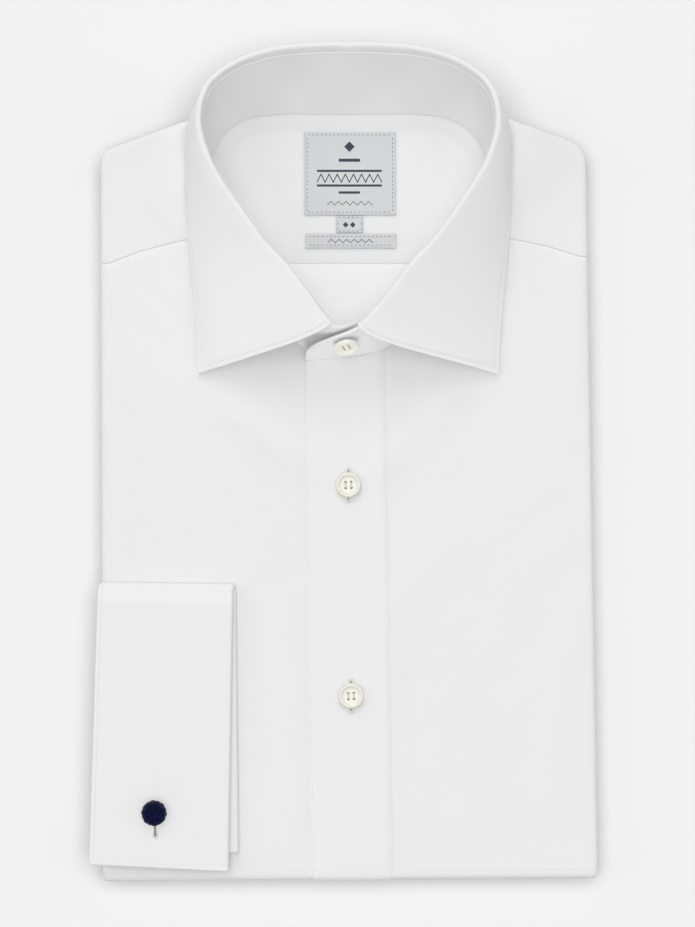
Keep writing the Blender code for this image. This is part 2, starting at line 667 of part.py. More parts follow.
def stand_surface(places, levels):
    """Middle surface of the stand, straight from its seat to its top."""
    top, seat, _ = collar_stations(places)
    levels = np.asarray(levels, float)[None, :, None]
    return seat[:, None] + (top - seat)[:, None] * levels


def add_stand():
    """The collar stand: one strip round the neck with its front ends one on the other."""
    travel, _ = collar_table()
    places = np.linspace(travel[0], travel[-1], STAND_STATIONS)
    middle = stand_surface(places, np.linspace(0, 1, STAND_LEVELS))
    normal = surface_normals(middle)
    outer = settle(middle + normal * STAND_WALL / 2)
    inner = settle(middle - normal * STAND_WALL / 2)
    add_piece("collar_stand", *wall_mesh(outer, inner))


def leaf_surface():
    """Middle surface of the leaf: up from the stand, over a tight roll and down to its edge.

    On the wearer's right its front end is set back along the stand, under the other end.
    """
    travel, _ = collar_table()
    last = travel[-1 - len(OUTER_TAB_ROWS)]
    places = np.linspace(LEAF_RIGHT_SET_BACK - last, last, LEAF_STATIONS)
    top, seat, _ = collar_stations(places)
    stretch = np.where(places < 0, last / (last - LEAF_RIGHT_SET_BACK), 1.0)
    _, _, edge = collar_stations(places * stretch)
    rise = unit(top - seat)
    along = unit(np.gradient(top, axis=0))
    out = unit(np.cross(along, rise))
    outside = ((top[:, :2] - NECK_MIDDLE) * out[:, :2]).sum(1, keepdims=True) > 0
    out = np.where(outside, out, -out)
    centre = top + rise * LEAF_ROLL_RISE + out * LEAF_ROLL_RADIUS
    strips = [top + rise * SEAM_GAP]
    for angle in np.linspace(0, math.pi, LEAF_ROLL_STEPS + 1):
        strips.append(centre + LEAF_ROLL_RADIUS * (rise * math.sin(angle) - out * math.cos(angle)))
    start = strips[-1]
    span = edge - start
    length = np.linalg.norm(span, axis=1, keepdims=True)
    flat_out = unit(out * [1, 1, 0])
    lean = np.clip((rise * flat_out).sum(1, keepdims=True), 0, 1)
    first = start + unit(-rise - [0, 0, LEAF_DROP] * lean) * LEAF_FIRST_PULL * length
    sag = LEAF_SAG * np.clip(length / LEAF_SAG_LENGTH - 0.6, 0, 1)
    second = edge - span * LEAF_SECOND_PULL - [0, 0, 1] * sag
    for t in np.linspace(0, 1, LEAF_FALL_STEPS + 1)[1:]:
        curve = start * (1 - t) ** 3 + 3 * first * t * (1 - t) ** 2
        strips.append(curve + 3 * second * t * t * (1 - t) + edge * t ** 3)
    return np.stack(strips, 1)


def add_leaf():
    """The collar leaf, from point to point round the back."""
    middle = leaf_surface()
    normal = surface_normals(middle)
    outer = settle(middle + normal * LEAF_WALL / 2)
    inner = settle(middle - normal * LEAF_WALL / 2)
    add_piece("collar_leaf", *wall_mesh(outer, inner))


def band_sheet(depth):
    """Points of the front band at a depth from the fronts' top, negative above it."""
    share = np.linspace(0, 1, 5)
    top_x = BAND_LEFT_TOP + (BAND_RIGHT_TOP - BAND_LEFT_TOP) * share
    bend_y = bend_line(BAND_LEFT_BOTTOM + (BAND_RIGHT_BOTTOM - BAND_LEFT_BOTTOM) * share)
    gap = BAND_TOP_GAP_LEFT + (BAND_TOP_GAP_RIGHT - BAND_TOP_GAP_LEFT) * share
    top_y = seat_line(top_x) - gap
    angles = np.radians(np.linspace(0, BAND_END_ANGLE, 7)[1:])
    down = np.concatenate([np.linspace(0, 1, BAND_ROWS), np.ones(len(angles))])
    bend = np.concatenate([np.zeros(BAND_ROWS), angles])
    y = top_y[None] + (bend_y - top_y)[None] * down[:, None]
    fall = np.clip((y - top_y[0]) / (bend_y[0] - top_y[0]), 0, 1)
    left = BAND_LEFT_TOP + (BAND_LEFT_BOTTOM - BAND_LEFT_TOP) * fall
    right = BAND_RIGHT_TOP + (BAND_RIGHT_BOTTOM - BAND_RIGHT_TOP) * fall
    x = left + (right - left) * share[None]
    forward, z = bottom_bend(np.full(x.shape, depth), bend[:, None])
    return settle(np.stack([x, y - forward, z], -1))


def add_band():
    """The front band, lying on both fronts where they meet."""
    outer, inner = band_sheet(-SEAM_GAP - BAND_WALL), band_sheet(-SEAM_GAP)
    add_piece("placket", *wall_mesh(outer, inner))


def cuff_levels():
    """Distances of the cuff's faces from the middle of its hollow, from the inside out."""
    inner_low = CUFF_HOLLOW / 2
    inner_high = inner_low + CUFF_WALL
    outer_low = inner_high + SEAM_GAP
    return inner_low, inner_high, outer_low, outer_low + CUFF_WALL


def cuff_profile():
    """Section along the arm: (share from free edge to hand edge, distance from the middle)."""
    inner_low, inner_high, outer_low, outer_high = cuff_levels()
    middle = (inner_high + outer_low) / 2
    big, small = outer_high - middle, outer_low - middle
    run = [("free", s, outer_high, 0.0) for s in (0.0, 0.34, 0.67)]
    run += [("hand", 0.0, middle + big * math.cos(a), big * math.sin(a))
            for a in np.radians((0.0, 45.0, 90.0, 135.0, 180.0))]
    run += [("seam", s, inner_low, 0.0) for s in (0.67, 0.34, 0.0)]
    run += [("seam", s, inner_high, 0.0) for s in (0.0, 0.34, 0.67)]
    run += [("hand", 0.0, middle + small * math.cos(a), small * math.sin(a))
            for a in np.radians((180.0, 90.0, 0.0))]
    run += [("free", s, outer_low, 0.0) for s in (0.67, 0.34, 0.0)]
    return run, big


def cuff_loops():
    """Closed sections of the cuff at each place round the girth."""
    profile, lip = cuff_profile()
    _, _, _, outer_high = cuff_levels()
    mid_z = STACK_HEIGHT + SEAM_GAP + outer_high
    half = np.linspace(0, 1, 8)
    turn = np.radians(np.linspace(0, 180, 9))[1:-1]
    places = [("upper", s, 0.0) for s in half] + [("fold", 0.0, a) for a in turn]
    places += [("lower", s, math.pi) for s in half]
    girth = np.linspace(0, 1, len(places))
    hand_x = np.interp(girth, column(CUFF_HAND, 0), column(CUFF_HAND, 1))
    free_x = np.interp(girth, (0.0, 0.4, 0.6, 1.0),
                       (CUFF_FREE_BOTTOM, CUFF_FREE_TOP, CUFF_UNDER_FREE, CUFF_UNDER_FREE))
    loops = []
    for k, (part, share, angle) in enumerate(places):
        loop = []
        for start, run, level, bow in profile:
            from_x = CUFF_SEAM_X if start == "seam" else free_x[k]
            flat_hand = hand_x[k] - lip
            x = flat_hand + bow if start == "hand" else from_x + (flat_hand - from_x) * run
            across = (x - CUFF_FREE_TOP) / (CUFF_HAND[0][1] - CUFF_FREE_TOP)
            fold_y = CUFF_FOLD_Y_LEFT + (CUFF_FOLD_Y_RIGHT - CUFF_FOLD_Y_LEFT) * across - outer_high
            upper_end = CUFF_END_Y_LEFT + (CUFF_END_Y_RIGHT - CUFF_END_Y_LEFT) * across
            end_y = upper_end if part == "upper" else CUFF_UNDER_END_Y
            y = end_y + (fold_y - end_y) * (share if part == "upper" else 1 - share)
            if part == "fold":
                y = fold_y
            y += level * math.sin(angle) if part == "fold" else 0.0
            z = mid_z + level * math.cos(angle)
            loop.append((x, y, z))
        loops.append(settle(np.array(loop)))
    return loops


def add_cuff():
    """The turned-back cuff, pressed flat, with a hole through its upper half for the link."""
    cuff = add_piece("cuff", *loft_mesh(cuff_loops()))
    _, _, _, outer_high = cuff_levels()
    middle = STACK_HEIGHT + SEAM_GAP + outer_high
    hole_radius = BAR_RADIUS + SEAM_GAP
    lift = float(relief(BAR_ENTRY_X, BAR_ENTRY_Y))
    circle = [(BAR_ENTRY_X + hole_radius * math.cos(a), BAR_ENTRY_Y + hole_radius * math.sin(a))
              for a in np.linspace(0, 2 * math.pi, 13)[:-1]]
    loops = [[(x, y, z + lift) for x, y in circle] for z in (middle, middle + outer_high + 1.0)]
    cut(cuff, add_guide("cuff_hole_guide", *loft_mesh(loops)))


def add_sleeve():
    """The end of the sleeve, pressed flat, from the cuff round the side and between the folds."""
    _, _, _, outer_high = cuff_levels()
    start_z = STACK_HEIGHT + SEAM_GAP + outer_high
    axis_x = left_side(SLEEVE_Y_TOP) + ROLL_OUT
    axis_z = STACK_HEIGHT - ROLL_HALF_HEIGHT
    clear = SEAM_GAP + SLEEVE_WALL / 2
    path = [(CUFF_SEAM_X - SEAM_GAP, start_z)]
    for a in np.radians(np.linspace(0, 90, 7)):
        path.append((axis_x - (ROLL_OUT + clear) * math.sin(a),
                     axis_z + (start_z - axis_z) * math.cos(a)))
    for a in np.radians(np.linspace(90, SLEEVE_TUCK_ANGLE, 4))[1:]:
        path.append((axis_x - (ROLL_OUT + clear) * math.sin(a),
                     axis_z + (ROLL_HALF_HEIGHT + clear) * math.cos(a)))
    path = np.array(path)
    tangent = unit(np.gradient(path, axis=0))
    normal = np.stack([tangent[:, 1], -tangent[:, 0]], -1)
    shares = np.array([0.0, 0.008, 0.02, 0.2, 0.4, 0.6, 0.8, 0.98, 0.992, 1.0])
    thick = np.array([0.25, 0.75, 1.0, 1.0, 1.0, 1.0, 1.0, 1.0, 0.75, 0.25]) * SLEEVE_WALL / 2
    y = SLEEVE_Y_TOP + (SLEEVE_Y_BOTTOM - SLEEVE_Y_TOP) * shares
    faces = []
    for sign in (1, -1):
        plan = path[:, None] + sign * normal[:, None] * thick[None, :, None]
        grid = np.stack([plan[..., 0], np.broadcast_to(y, plan.shape[:2]), plan[..., 1]], -1)
        faces.append(settle(grid))
    add_piece("sleeve_right", *wall_mesh(*faces))


def turned_mesh(profile, segments):
    """A solid turned about Z from (radius, height) rows, closed at both ends on the axis line."""
    angles = np.linspace(0, 2 * math.pi, segments + 1)[:-1]
    loops = [[(r * math.cos(a), r * math.sin(a), z) for a in angles] for r, z in profile]
    return loft_mesh(loops)


def placed(vertices, origin, right, up):
    """Local points set at an origin, with local X along right and local Z along up."""
    up = unit(np.asarray(up, float))
    right = unit(np.asarray(right, float) - up * np.dot(right, up))
    frame = np.stack([right, np.cross(up, right), up])
    return np.asarray(origin, float) + np.asarray(vertices, float) @ frame


def add_button(name, origin, right, up):
    """A four-hole button with a raised rim and a dished middle."""
    vertices, faces = turned_mesh(BUTTON_PROFILE, BUTTON_SEGMENTS)
    button = add_piece(name, placed(vertices, origin, right, up), faces, "button")
    drills, drill_faces = [], []
    for step in range(4):
        turn = math.pi / 4 + step * math.pi / 2
        spread = BUTTON_HOLE_SPREAD * math.sqrt(2)
        hole = [(BUTTON_HOLE_RADIUS, height) for height in (BUTTON_DRILL_LOW, BUTTON_DRILL_HIGH)]
        points, hole_faces = turned_mesh(hole, BUTTON_HOLE_SEGMENTS)
        points = points + [spread * math.cos(turn), spread * math.sin(turn), 0.0]
        drill_faces += [tuple(v + len(drills) for v in face) for face in hole_faces]
        drills += points.tolist()
    cut(button, add_guide(name + "_guide", placed(np.array(drills), origin, right, up), drill_faces))


def add_buttons():
    """The collar button on the stand's outer end, and two on the front band."""
    travel, _ = collar_table()
    places = np.linspace(travel[-1] - 60.0, travel[-1], 61)
    grid = stand_surface(places, (COLLAR_BUTTON_LEVEL, COLLAR_BUTTON_LEVEL + 0.1))
    station = int(np.argmin(np.abs(grid[:, 0, 0] - COLLAR_BUTTON_X)))
    along = grid[station + 1, 0] - grid[station - 1, 0]
    outward = unit(np.cross(along, grid[station, 1] - grid[station, 0]))
    outward = -outward if outward[1] > 0 else outward
    seat = settle(grid[station, 0] + outward * (STAND_WALL / 2 + SEAM_GAP + COLLAR_BUTTON_SHANK))
    add_button("button_collar", seat, -along, outward + [0, 0, COLLAR_BUTTON_LEAN])
    for number, (x, y) in enumerate(FRONT_BUTTONS, 1):
        top = STACK_HEIGHT + BAND_WALL + 2 * SEAM_GAP
        add_button(f"button_front_{number}", settle(np.array([x, y, top])), (1, 0, 0), (0, 0, 1))


def tube_mesh(points, radius, segments=8):
    """A round bar along a short path of points."""
    points = np.array(points, float)
    tangent = unit(np.gradient(points, axis=0))
    across = unit(np.cross(tangent, [1.0, 0.0, 0.0]))
    other = np.cross(tangent, across)
    loops = []
    for k, point in enumerate(points):
        turn = np.linspace(0, 2 * math.pi, segments + 1)[:-1]
        loops.append([point + radius * (across[k] * math.cos(a) + other[k] * math.sin(a)) for a in turn])
    return loft_mesh(loops)


def add_cufflink():
    """The silk knot lying on the cuff, and the bar from it through the cuff's upper half."""
    _, _, _, outer_high = cuff_levels()
    middle = STACK_HEIGHT + SEAM_GAP + outer_high
    lift = float(relief(BAR_ENTRY_X, BAR_ENTRY_Y))
    cloth_top = middle + outer_high + lift
    centre = np.array([KNOT_X, KNOT_Y, cloth_top + SEAM_GAP + KNOT_RADIUS])
    latitudes = np.radians(np.linspace(-90, 90, 10))[1:-1]
    profile = [(KNOT_RADIUS * math.cos(a), KNOT_RADIUS * math.sin(a)) for a in latitudes]
    vertices, faces = turned_mesh(profile, 16)
    bearing = np.arctan2(vertices[:, 1], vertices[:, 0])
    height = vertices[:, 2:] / KNOT_RADIUS
    strands = np.cos(KNOT_STRANDS * bearing[:, None] + KNOT_TWIST * height)
    waves = 1 + KNOT_WAVE * strands * np.sqrt(1 - height ** 2)
    add_piece("cufflink_knot", centre + vertices * waves, faces, "silk")
    entry = np.array([BAR_ENTRY_X, BAR_ENTRY_Y, cloth_top])
    foot = np.array([BAR_ENTRY_X, BAR_ENTRY_Y, middle + lift + 0.1])
    toward = unit(centre - entry)
    reach = np.linalg.norm(centre - entry) - KNOT_RADIUS * (1 + KNOT_WAVE) - SEAM_GAP
    bow = entry + [0.0, 0.1, 0.6]
    path = [foot, entry, bow, bow + toward * (reach - 0.6)]
    add_piece("cufflink_bar", *tube_mesh(path, BAR_RADIUS), "metal")


def rest_on_floor():
    """Carry every object on one empty that puts the middle of the shirt's footprint at the origin."""
    low, high = np.full(3, np.inf), np.full(3, -np.inf)
    pieces = [item for item in bpy.context.scene.objects if item.type == "MESH"]
    for item in pieces:
        if not item.hide_render:
            corners = np.array([vertex.co for vertex in item.data.vertices])
            low, high = np.minimum(low, corners.min(0)), np.maximum(high, corners.max(0))
    anchor = bpy.data.objects.new("shirt", None)
    bpy.context.scene.collection.objects.link(anchor)
    anchor.location = (-(low[0] + high[0]) / 2, -(low[1] + high[1]) / 2, -low[2])
    for item in pieces:
        item.parent = anchor


def build():
    """Clear the scene and make the whole shirt."""
    for item in list(bpy.data.objects):
        bpy.data.objects.remove(item, do_unlink=True)
    add_body_fold()
    add_inner_pieces()
    add_labels()
    add_front("front_right", -1, LEFT_SEAM_Y)
    add_front("front_left", 1, RIGHT_SEAM_Y)
    add_yoke()
    add_stand()
    add_leaf()
    add_band()
    add_cuff()
    add_sleeve()
    add_buttons()
    add_cufflink()
    rest_on_floor()
    bpy.context.view_layer.update()


build()
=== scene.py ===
"""A long sleeve dress shirt folded for the shelf: its cloth, stitching, buttons and studio.

Laid out as a Blender add-on and run as a script. Lengths in the shape tables are millimetres in the
shirt's own frame: x is 0 at the middle of the collar, z is 0 on the surface that it lies on.
"""

import math

import bmesh
import bpy
import numpy as np
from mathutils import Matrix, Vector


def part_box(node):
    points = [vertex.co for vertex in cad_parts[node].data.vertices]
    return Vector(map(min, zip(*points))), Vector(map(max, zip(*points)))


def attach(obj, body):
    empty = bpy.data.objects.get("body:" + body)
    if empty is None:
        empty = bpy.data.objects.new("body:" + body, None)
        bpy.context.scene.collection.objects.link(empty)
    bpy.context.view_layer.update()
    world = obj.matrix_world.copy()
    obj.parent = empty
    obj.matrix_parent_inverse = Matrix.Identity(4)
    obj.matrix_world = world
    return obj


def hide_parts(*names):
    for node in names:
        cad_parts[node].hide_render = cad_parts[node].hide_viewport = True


bl_info = {
    "name": "Folded Dress Shirt",
    "version": (1, 0, 0),
    "blender": (4, 5, 0),
    "location": "3D View > Sidebar > Shirt",
    "description": "Makes the cloth, stitching, buttons and cufflink of a folded dress shirt",
    "category": "Add Mesh",
}

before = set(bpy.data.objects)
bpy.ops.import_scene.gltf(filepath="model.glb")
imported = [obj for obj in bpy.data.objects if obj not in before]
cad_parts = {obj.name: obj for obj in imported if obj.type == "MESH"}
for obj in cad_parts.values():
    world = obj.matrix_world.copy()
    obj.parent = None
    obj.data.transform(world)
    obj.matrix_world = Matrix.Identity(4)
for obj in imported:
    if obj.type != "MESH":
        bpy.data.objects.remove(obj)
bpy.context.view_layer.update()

MM = 0.001

# Grids: places in from a free edge, the share of a short side that they may take, and steps
EDGE_STEPS = (0.0, 0.1, 0.28, 0.55, 0.95, 1.4, 1.8, 2.15, 2.45, 2.75, 3.2, 4.0)
EDGE_SHARE = 0.4
ROLL_STEPS, BEND_STEPS = 20, 40
FRONT_COLUMNS, FRONT_TOP_STEPS, FRONT_TAIL_STEPS = 100, 116, 44
BAND_COLUMNS, BAND_TOP_STEPS, BAND_TAIL_STEPS = 40, 160, 60
YOKE_COLUMNS, YOKE_ROWS, YOKE_TUCK_ROWS = 170, 40, 4
NECK_RING_STEPS, NECK_DEPTH_STEPS = 400, 360
CUFF_OUTER_COLUMNS, CUFF_LIP_COLUMNS, CUFF_INNER_COLUMNS = 60, 11, 26
CUFF_UPPER_ROWS, CUFF_TURN_ROWS, CUFF_LOWER_ROWS = 90, 17, 60
# More than the length of any row, so that each row of a joined table keeps a range of its own
ROW_SPAN = 1e4
# Angles past which an edge between two faces looks sharp
SHARP_ANGLE, CLOTH_SHARP_ANGLE, BUTTON_SHARP_ANGLE = 50.0, 80.0, 35.0

# Cloth and seams
WALL = 1.2
LEAST_ROUNDING = 0.02
SEWN_RIDGE, SEWN_RIDGE_START, SEWN_RIDGE_RAMP = 0.08, 0.9, 1.2
SEWN_GROOVE, SEWN_GROOVE_WIDTH = 0.10, 0.45
SEAM_GAP = 0.3
LABEL_WALL = 0.8
LABEL_TURNED_IN = 3.6

# The folded stack
STACK_HEIGHT = 18.0
HALF_STACK = 9.0
ROLL_OUT = 4.0
ROLL_HALF_HEIGHT = 4.35
BEND_OUT = 6.0
CORNER_ROUND = 1.5
TUCK_IN = 6.0
LEFT_SIDE_TOP, LEFT_SIDE_BOTTOM = -111.8, -110.9
RIGHT_SIDE_TOP, RIGHT_SIDE_BOTTOM = 107.3, 112.6
SIDE_TOP_Y, SIDE_BOTTOM_Y = 138.0, -182.0
HEM_LEFT_Y, HEM_RIGHT_Y = -189.6, -188.2
SHOULDER_LINE = (
    # x, y
    (-112, 139.4),
    (-106, 141.2),
    (-90, 147),
    (-70.7, 153.9),
    (-54, 159.8),
    (-36, 164),
    (0, 166),
    (36, 164),
    (54, 160.2),
    (69.7, 154.9),
    (81, 151),
    (95.7, 145.6),
    (103.8, 141.6),
    (107.5, 138.5),
)
# Seam of each front with the yoke: y at even steps from the neck out to the rounded side
LEFT_SEAM_Y = (103.6, 101.0, 97.9, 94.2, 88.8)
RIGHT_SEAM_Y = (103.6, 101.2, 98.9, 96.1, 91.8)
NECK_POINT = 51.0
NECK_MIDDLE = (0.0, 120.0)
NECK_BACK_Y = 137.0
YOKE_NECK_LEDGE = 1.5
FRONT_NECK_LEDGE = 2.6
SEAM_TUCK = 2.6

YOKE_TUCK_IN = 8.0
YOKE_SEAM_SINK, YOKE_SEAM_WIDTH = 0.08, 1.2
# Fronts: places along the neck, the dip under the yoke, and the room for the band's underside
NECK_STEPS_X = (42.0, 34.0, 26.0, 18.0, 10.0)
YOKE_LAP_RAMP = 2.0
SEAM_DIP, SEAM_DIP_START, DIP_RAMP = 1.0, 0.6, 1.6
UNDER_START, UNDER_RAMP = 1.9, 1.2
UNDER_BAND_DEPTH, UNDER_BAND_MARGIN, UNDER_BAND_RAMP = 1.75, 1.0, 3.0
HEM_STITCH_IN, HEM_FIRST_STITCH = 5.0, 18

# The shirt tail on the underside: y of its edge at the middle, and how far it rises at the sides
TAIL_Y, TAIL_RISE = 131.0, 7.0

# Relief: a crown, soft folds and creases, each fading past its ends in FOLD_FADE half widths
CROWN = 1.2
FOLD_FADE = 1.5
CROWN_HALF_WIDTH, CROWN_HALF_LENGTH = 112.0, 182.0
SOFT_FOLDS = (
    # start_x, start_y, end_x, end_y, height, half_width
    (-72, 34, -22, -2, 0.63, 8),
    (-96, 60, -40, 30, -0.37, 10),
    (50, 31, 18, -1, 0.89, 7.5),
    (60, 20, 98, -48, -0.48, 11),
    (48, -38, 22, -66, 0.79, 7.5),
    (104, -31, 79, -50, 0.53, 8),
    (30, -60, 70, -150, 0.42, 13),
    (-86, 120, -68, 106, 0.34, 6),
    (82, 116, 76, 104, -0.48, 7),
)
FINE_CREASES = (
    # start_x, start_y, end_x, end_y, height, half_width
    (-50, 19, -19, -1, 0.59, 5),
    (-88.5, 114.5, -72.5, 101.5, 0.42, 2.8),
    (-94, 81, -73, 61, -0.38, 4),
    (-107, 27, -90, 14, -0.36, 6),
    (-62, 74, -54, 40, 0.29, 6),
    (-18, -4, -15, -176, -0.75, 5),
    (-27, -38, -25, -52, -0.53, 5),
    (15.6, 20, 18.2, -176, 0.46, 3.6),
    (29, -100, 33, -122, -0.85, 6),
    (42, -140, 46, -150, -0.36, 5),
    (-104, 74, -99, -36, 0.51, 5),
    (-95, 90, -93, 72, 0.43, 3),
    (-81, 94, -80.5, 79, -0.39, 2.6),
    (79, 99, 82, 80, 0.46, 3.2),
    (92, 96, 97, 76, -0.24, 3),
    (103, 88, 104, 30, 0.51, 4.6),
    (70, 60, 104, 14, 0.34, 6),
    (84, -14, 62, -36, 0.36, 7),
    (96, -70, 70, -96, -0.29, 7),
    (100, -70, 90, -150, 0.46, 6),
    (-40, -60, -34, -150, -0.64, 7),
    (-100, -72, -78, -84, -0.48, 9),
    (-98, -118, -70, -132, 0.26, 9),
    (-88, 128, -82, 108, 0.24, 4),
    (90, 130, 84, 108, 0.22, 4),
    (-30, 140, -42, 96, 0.48, 8),
    (34, 146, 44, 100, -0.48, 8),
    (-30, 120, -25, 92, -0.74, 5),
    (-10, 92, -16, 62, 0.36, 7),
    (12, 84, 6, 60, -0.29, 6),
)
# Grooves beside the lower edge, where the layers inside end: distance in, depth, half width
LAYER_GROOVES = ((1.5, 0.30, 0.38), (3, 0.22, 0.42))
# How square the rolled edges are: 2 is an ellipse
ROLL_POWER, BEND_POWER = 4.2, 6.5
# Soft standing waves of the stand: place along its top, height, half width
STAND_WAVES = ((-46, 0.9, 9), (-24, -0.9, 7), (-8, 0.8, 8), (16, -0.6, 9),
               (38, 0.8, 8), (60, -0.8, 10), (-70, -0.6, 10))
UNDER_CREASES = (
    # start_x, start_y, end_x, end_y, height, half_width
    (-90, -150, -40, -60, 0.35, 6),
    (-80, 20, -60, 110, 0.30, 5),
    (40, -140, 84, -40, 0.35, 6),
    (34, 10, 70, 100, 0.30, 5.5),
    (96, 40, 90, -60, 0.25, 4),
    (-96, -20, -92, -110, 0.25, 4),
)

HIDDEN_FOLD_WALL = 1.7
HIDDEN_FOLDS = (
    # set in from the sides, set in from the shoulders, height, wave of the edge
    (7, 9, 4.1, 0.5),
    (6.4, 7.6, 5.9, 0.7),
    (7.2, 8.6, 7.7, 0.4),
    (16, 7, 10.6, 0.3),
    (16, 7, 12.6, 0.3),
)
# Folds: ends of the shoulder line that they follow, rise of their lower end, length of an edge wave
FOLD_SHOULDER_X = (-104.0, 100.0)
FOLD_LOW_IN, FOLD_WAVE = 3.0, 13.0

# Collar
STAND_WALL = 1.4
LEAF_WALL = 1.2
SEAT_Z = 19.0
COLLAR_ROWS = (
    # top_x, top_y, top_z, seat_x, seat_y, edge_x, edge_y, edge_z
    (0, 181.3, 42, 0, 156.4, 0, 179, 6),
    (14.4, 181, 42.2, 13.5, 156.4, 15, 178.8, 6),
    (35.1, 178.5, 43.5, 33.5, 156.2, 36, 176.5, 6.5),
    (50.7, 172.6, 45.2, 47.5, 153.5, 53, 171, 8),
    (61, 163.8, 47, 56.8, 146.8, 66, 163.5, 12),
    (65, 150.6, 48.2, 62, 138, 72, 151, 19.2),
    (61.5, 133.7, 48.6, 62.5, 126, 73, 129, 19.4),
    (48.5, 111.7, 48.2, 54.5, 108.5, 72.2, 102, 19.4),
    (37.4, 96.4, 47.6, 44, 92.5, 70.7, 83, 19.4),
    (27.6, 85.6, 47.2, 35.5, 78, 69.2, 67, 19.4),
    (19.9, 75.1, 46.8, 27.5, 65, 68.4, 55, 19.4),
    (4.9, 59.1, 46, 14.5, 50.2, 67.6, 38.6, 19.4),
)
OUTER_TAB_ROWS = (
    # top_x, top_y, top_z, seat_x, seat_y
    (-7.7, 54.2, 41, -7.8, 46.4),
    (-15.3, 51.2, 36, -15.5, 45.8),
    (-18.9, 48.6, 30, -19.3, 45.4),
)
INNER_TAB_ROWS = (
    # top_x, top_y, top_z, seat_x, seat_y
    (-2, 60.6, 42.5, -2, 50.8),
    (-4.5, 62.4, 39, -9, 52.2),
)
LEAF_RIGHT_SET_BACK = 4.5
LEAF_ROLL_RISE = 2.7
LEAF_ROLL_RADIUS = 0.75
LEAF_ROLL_TURN = 148.0
LEAF_FIRST_PULL, LEAF_SECOND_PULL = 0.15, 0.36
LEAF_DROP, LEAF_SAG = 1.6, 1.5
LEAF_SAG_LENGTH, LEAF_SAG_FROM = 60.0, 0.6

# Front band: its middle surface lies above the fronts, and sinks into them at its sewn right edge
BAND_WALL = 0.9
BAND_LIFT, BAND_CUSHION, BAND_RIGHT_SINK, BAND_RIGHT_SLOPE = 0.08, 0.15, 0.64, 0.105
BAND_LEFT_TOP, BAND_LEFT_BOTTOM = -19.3, -15.8
BAND_RIGHT_TOP, BAND_RIGHT_BOTTOM = 17.3, 21.0
BAND_GROOVE, BAND_GROOVE_WIDTH = 0.42, 1.5
BAND_TOP_GAP_LEFT, BAND_TOP_GAP_RIGHT = 1.5, 2.4
BAND_TUCK, BAND_TUCK_DROP, BAND_TUCK_START = 3.2, 0.5, 1.2
BAND_TOP_Y = 40.0
FRONT_MEET_X = -1.0

# Turned-back cuff
CUFF_WALL = 1.2
CUFF_HOLLOW = 1.1
CUFF_PRESSED, CUFF_PRESSED_LENGTH = 0.28, 5.5
CUFF_FREE_TOP, CUFF_FREE_BOTTOM = -112.4, -116.3
CUFF_UNDER_FREE = -107.6
CUFF_SEAM_X = -104.4
CUFF_HAND = (
    # share of the girth from the upper end, x of the hand edge
    (0, -53.7),
    (0.5, -51.7),
    (0.54, -50.5),
    (1, -49.3),
)
CUFF_FOLD_START, CUFF_FOLD_END = 0.5, 0.54
CUFF_FREE = (
    # share of the girth from the upper end, x of the free edge
    (0, CUFF_FREE_BOTTOM),
    (0.505, CUFF_FREE_TOP),
    (CUFF_FOLD_END, CUFF_UNDER_FREE),
    (1, CUFF_UNDER_FREE),
)
CUFF_FOLD_Y_LEFT, CUFF_FOLD_Y_RIGHT = -54.5, -55.2
CUFF_END_Y_LEFT, CUFF_END_Y_RIGHT = -181.4, -184.4
CUFF_UNDER_END_Y = -176.2
SLEEVE_WALL, SLEEVE_GAP = 1.0, 0.15
SLEEVE_Y_TOP, SLEEVE_Y_BOTTOM = -58.5, -177.5
SLEEVE_TUCK_ANGLE = 135.0
SLEEVE_WAVES = ((0.12, 9, 0), (0.08, 4.3, 1))

# Buttons, cufflink and labels
BUTTON_PROFILE = (
    # radius, height
    (0, 0),
    (3.6, 0),
    (4.7, 0.15),
    (5.35, 0.55),
    (5.68, 1.1),
    (5.68, 1.45),
    (5.5, 1.9),
    (5.2, 2.2),
    (4.85, 2.3),
    (4.5, 2.22),
    (4.2, 1.98),
    (3.9, 1.74),
    (3.5, 1.62),
    (2.4, 1.55),
    (0, 1.52),
)
BUTTON_CLEARANCE = 0.7
HOLE_RADIUS, HOLE_SPREAD, HOLE_LOW, HOLE_HIGH = 0.62, 1.25, -1, 3.5
BUTTON_TURN = (1, 0.04, 0)
FRONT_BUTTONS = ((0, -11), (1.2, -105.8))
# Thread: loops over the holes, and the shank between the collar button and the cloth
LOOP_OFFSET, LOOP_OVERHANG, LOOP_TOP, LOOP_DEPTH, LOOP_RADIUS = 0.2, 0.12, 1.68, 1.8, 0.17
SHANK_TOP, SHANK_LENGTH, SHANK_RADIUS, SHANK_RIPPLE = 0.15, 1.6, 0.9, 0.12
# Buttonholes: a cord round a slot, a thicker bar at each end, and the slit inside it, drawn as a
# dark sheet of painted shadow
BUTTONHOLE_LENGTH, BUTTONHOLE_HALF_WIDTH, BUTTONHOLE_END = 15.0, 0.68, 0.9
BUTTONHOLE_CORD, BUTTONHOLE_STITCH, BUTTONHOLE_PITCH = 0.40, 0.03, 0.7
BUTTONHOLE_BAR, BUTTONHOLE_BAR_OUT, BUTTONHOLE_BAR_WIDTH = 0.12, 0.6, 0.5
BUTTONHOLE_LIFT, CORD_FLATNESS, END_LENGTH = 0.06, 0.7, 0.8
SLIT_HALF_WIDTH, SLIT_LEAST, SLIT_LIFT, SLIT_DEPTH = 0.36, 0.02, 0.10, 0.08
FRONT_HOLE_BELOW, COLLAR_HOLE_BELOW = 0.28, 0.25
COLLAR_HOLE_LENGTH = 8.2
COLLAR_BUTTON_LEVEL = 0.69
COLLAR_BUTTON_LEAN, COLLAR_BUTTON_SHANK = 0.2, 1.1
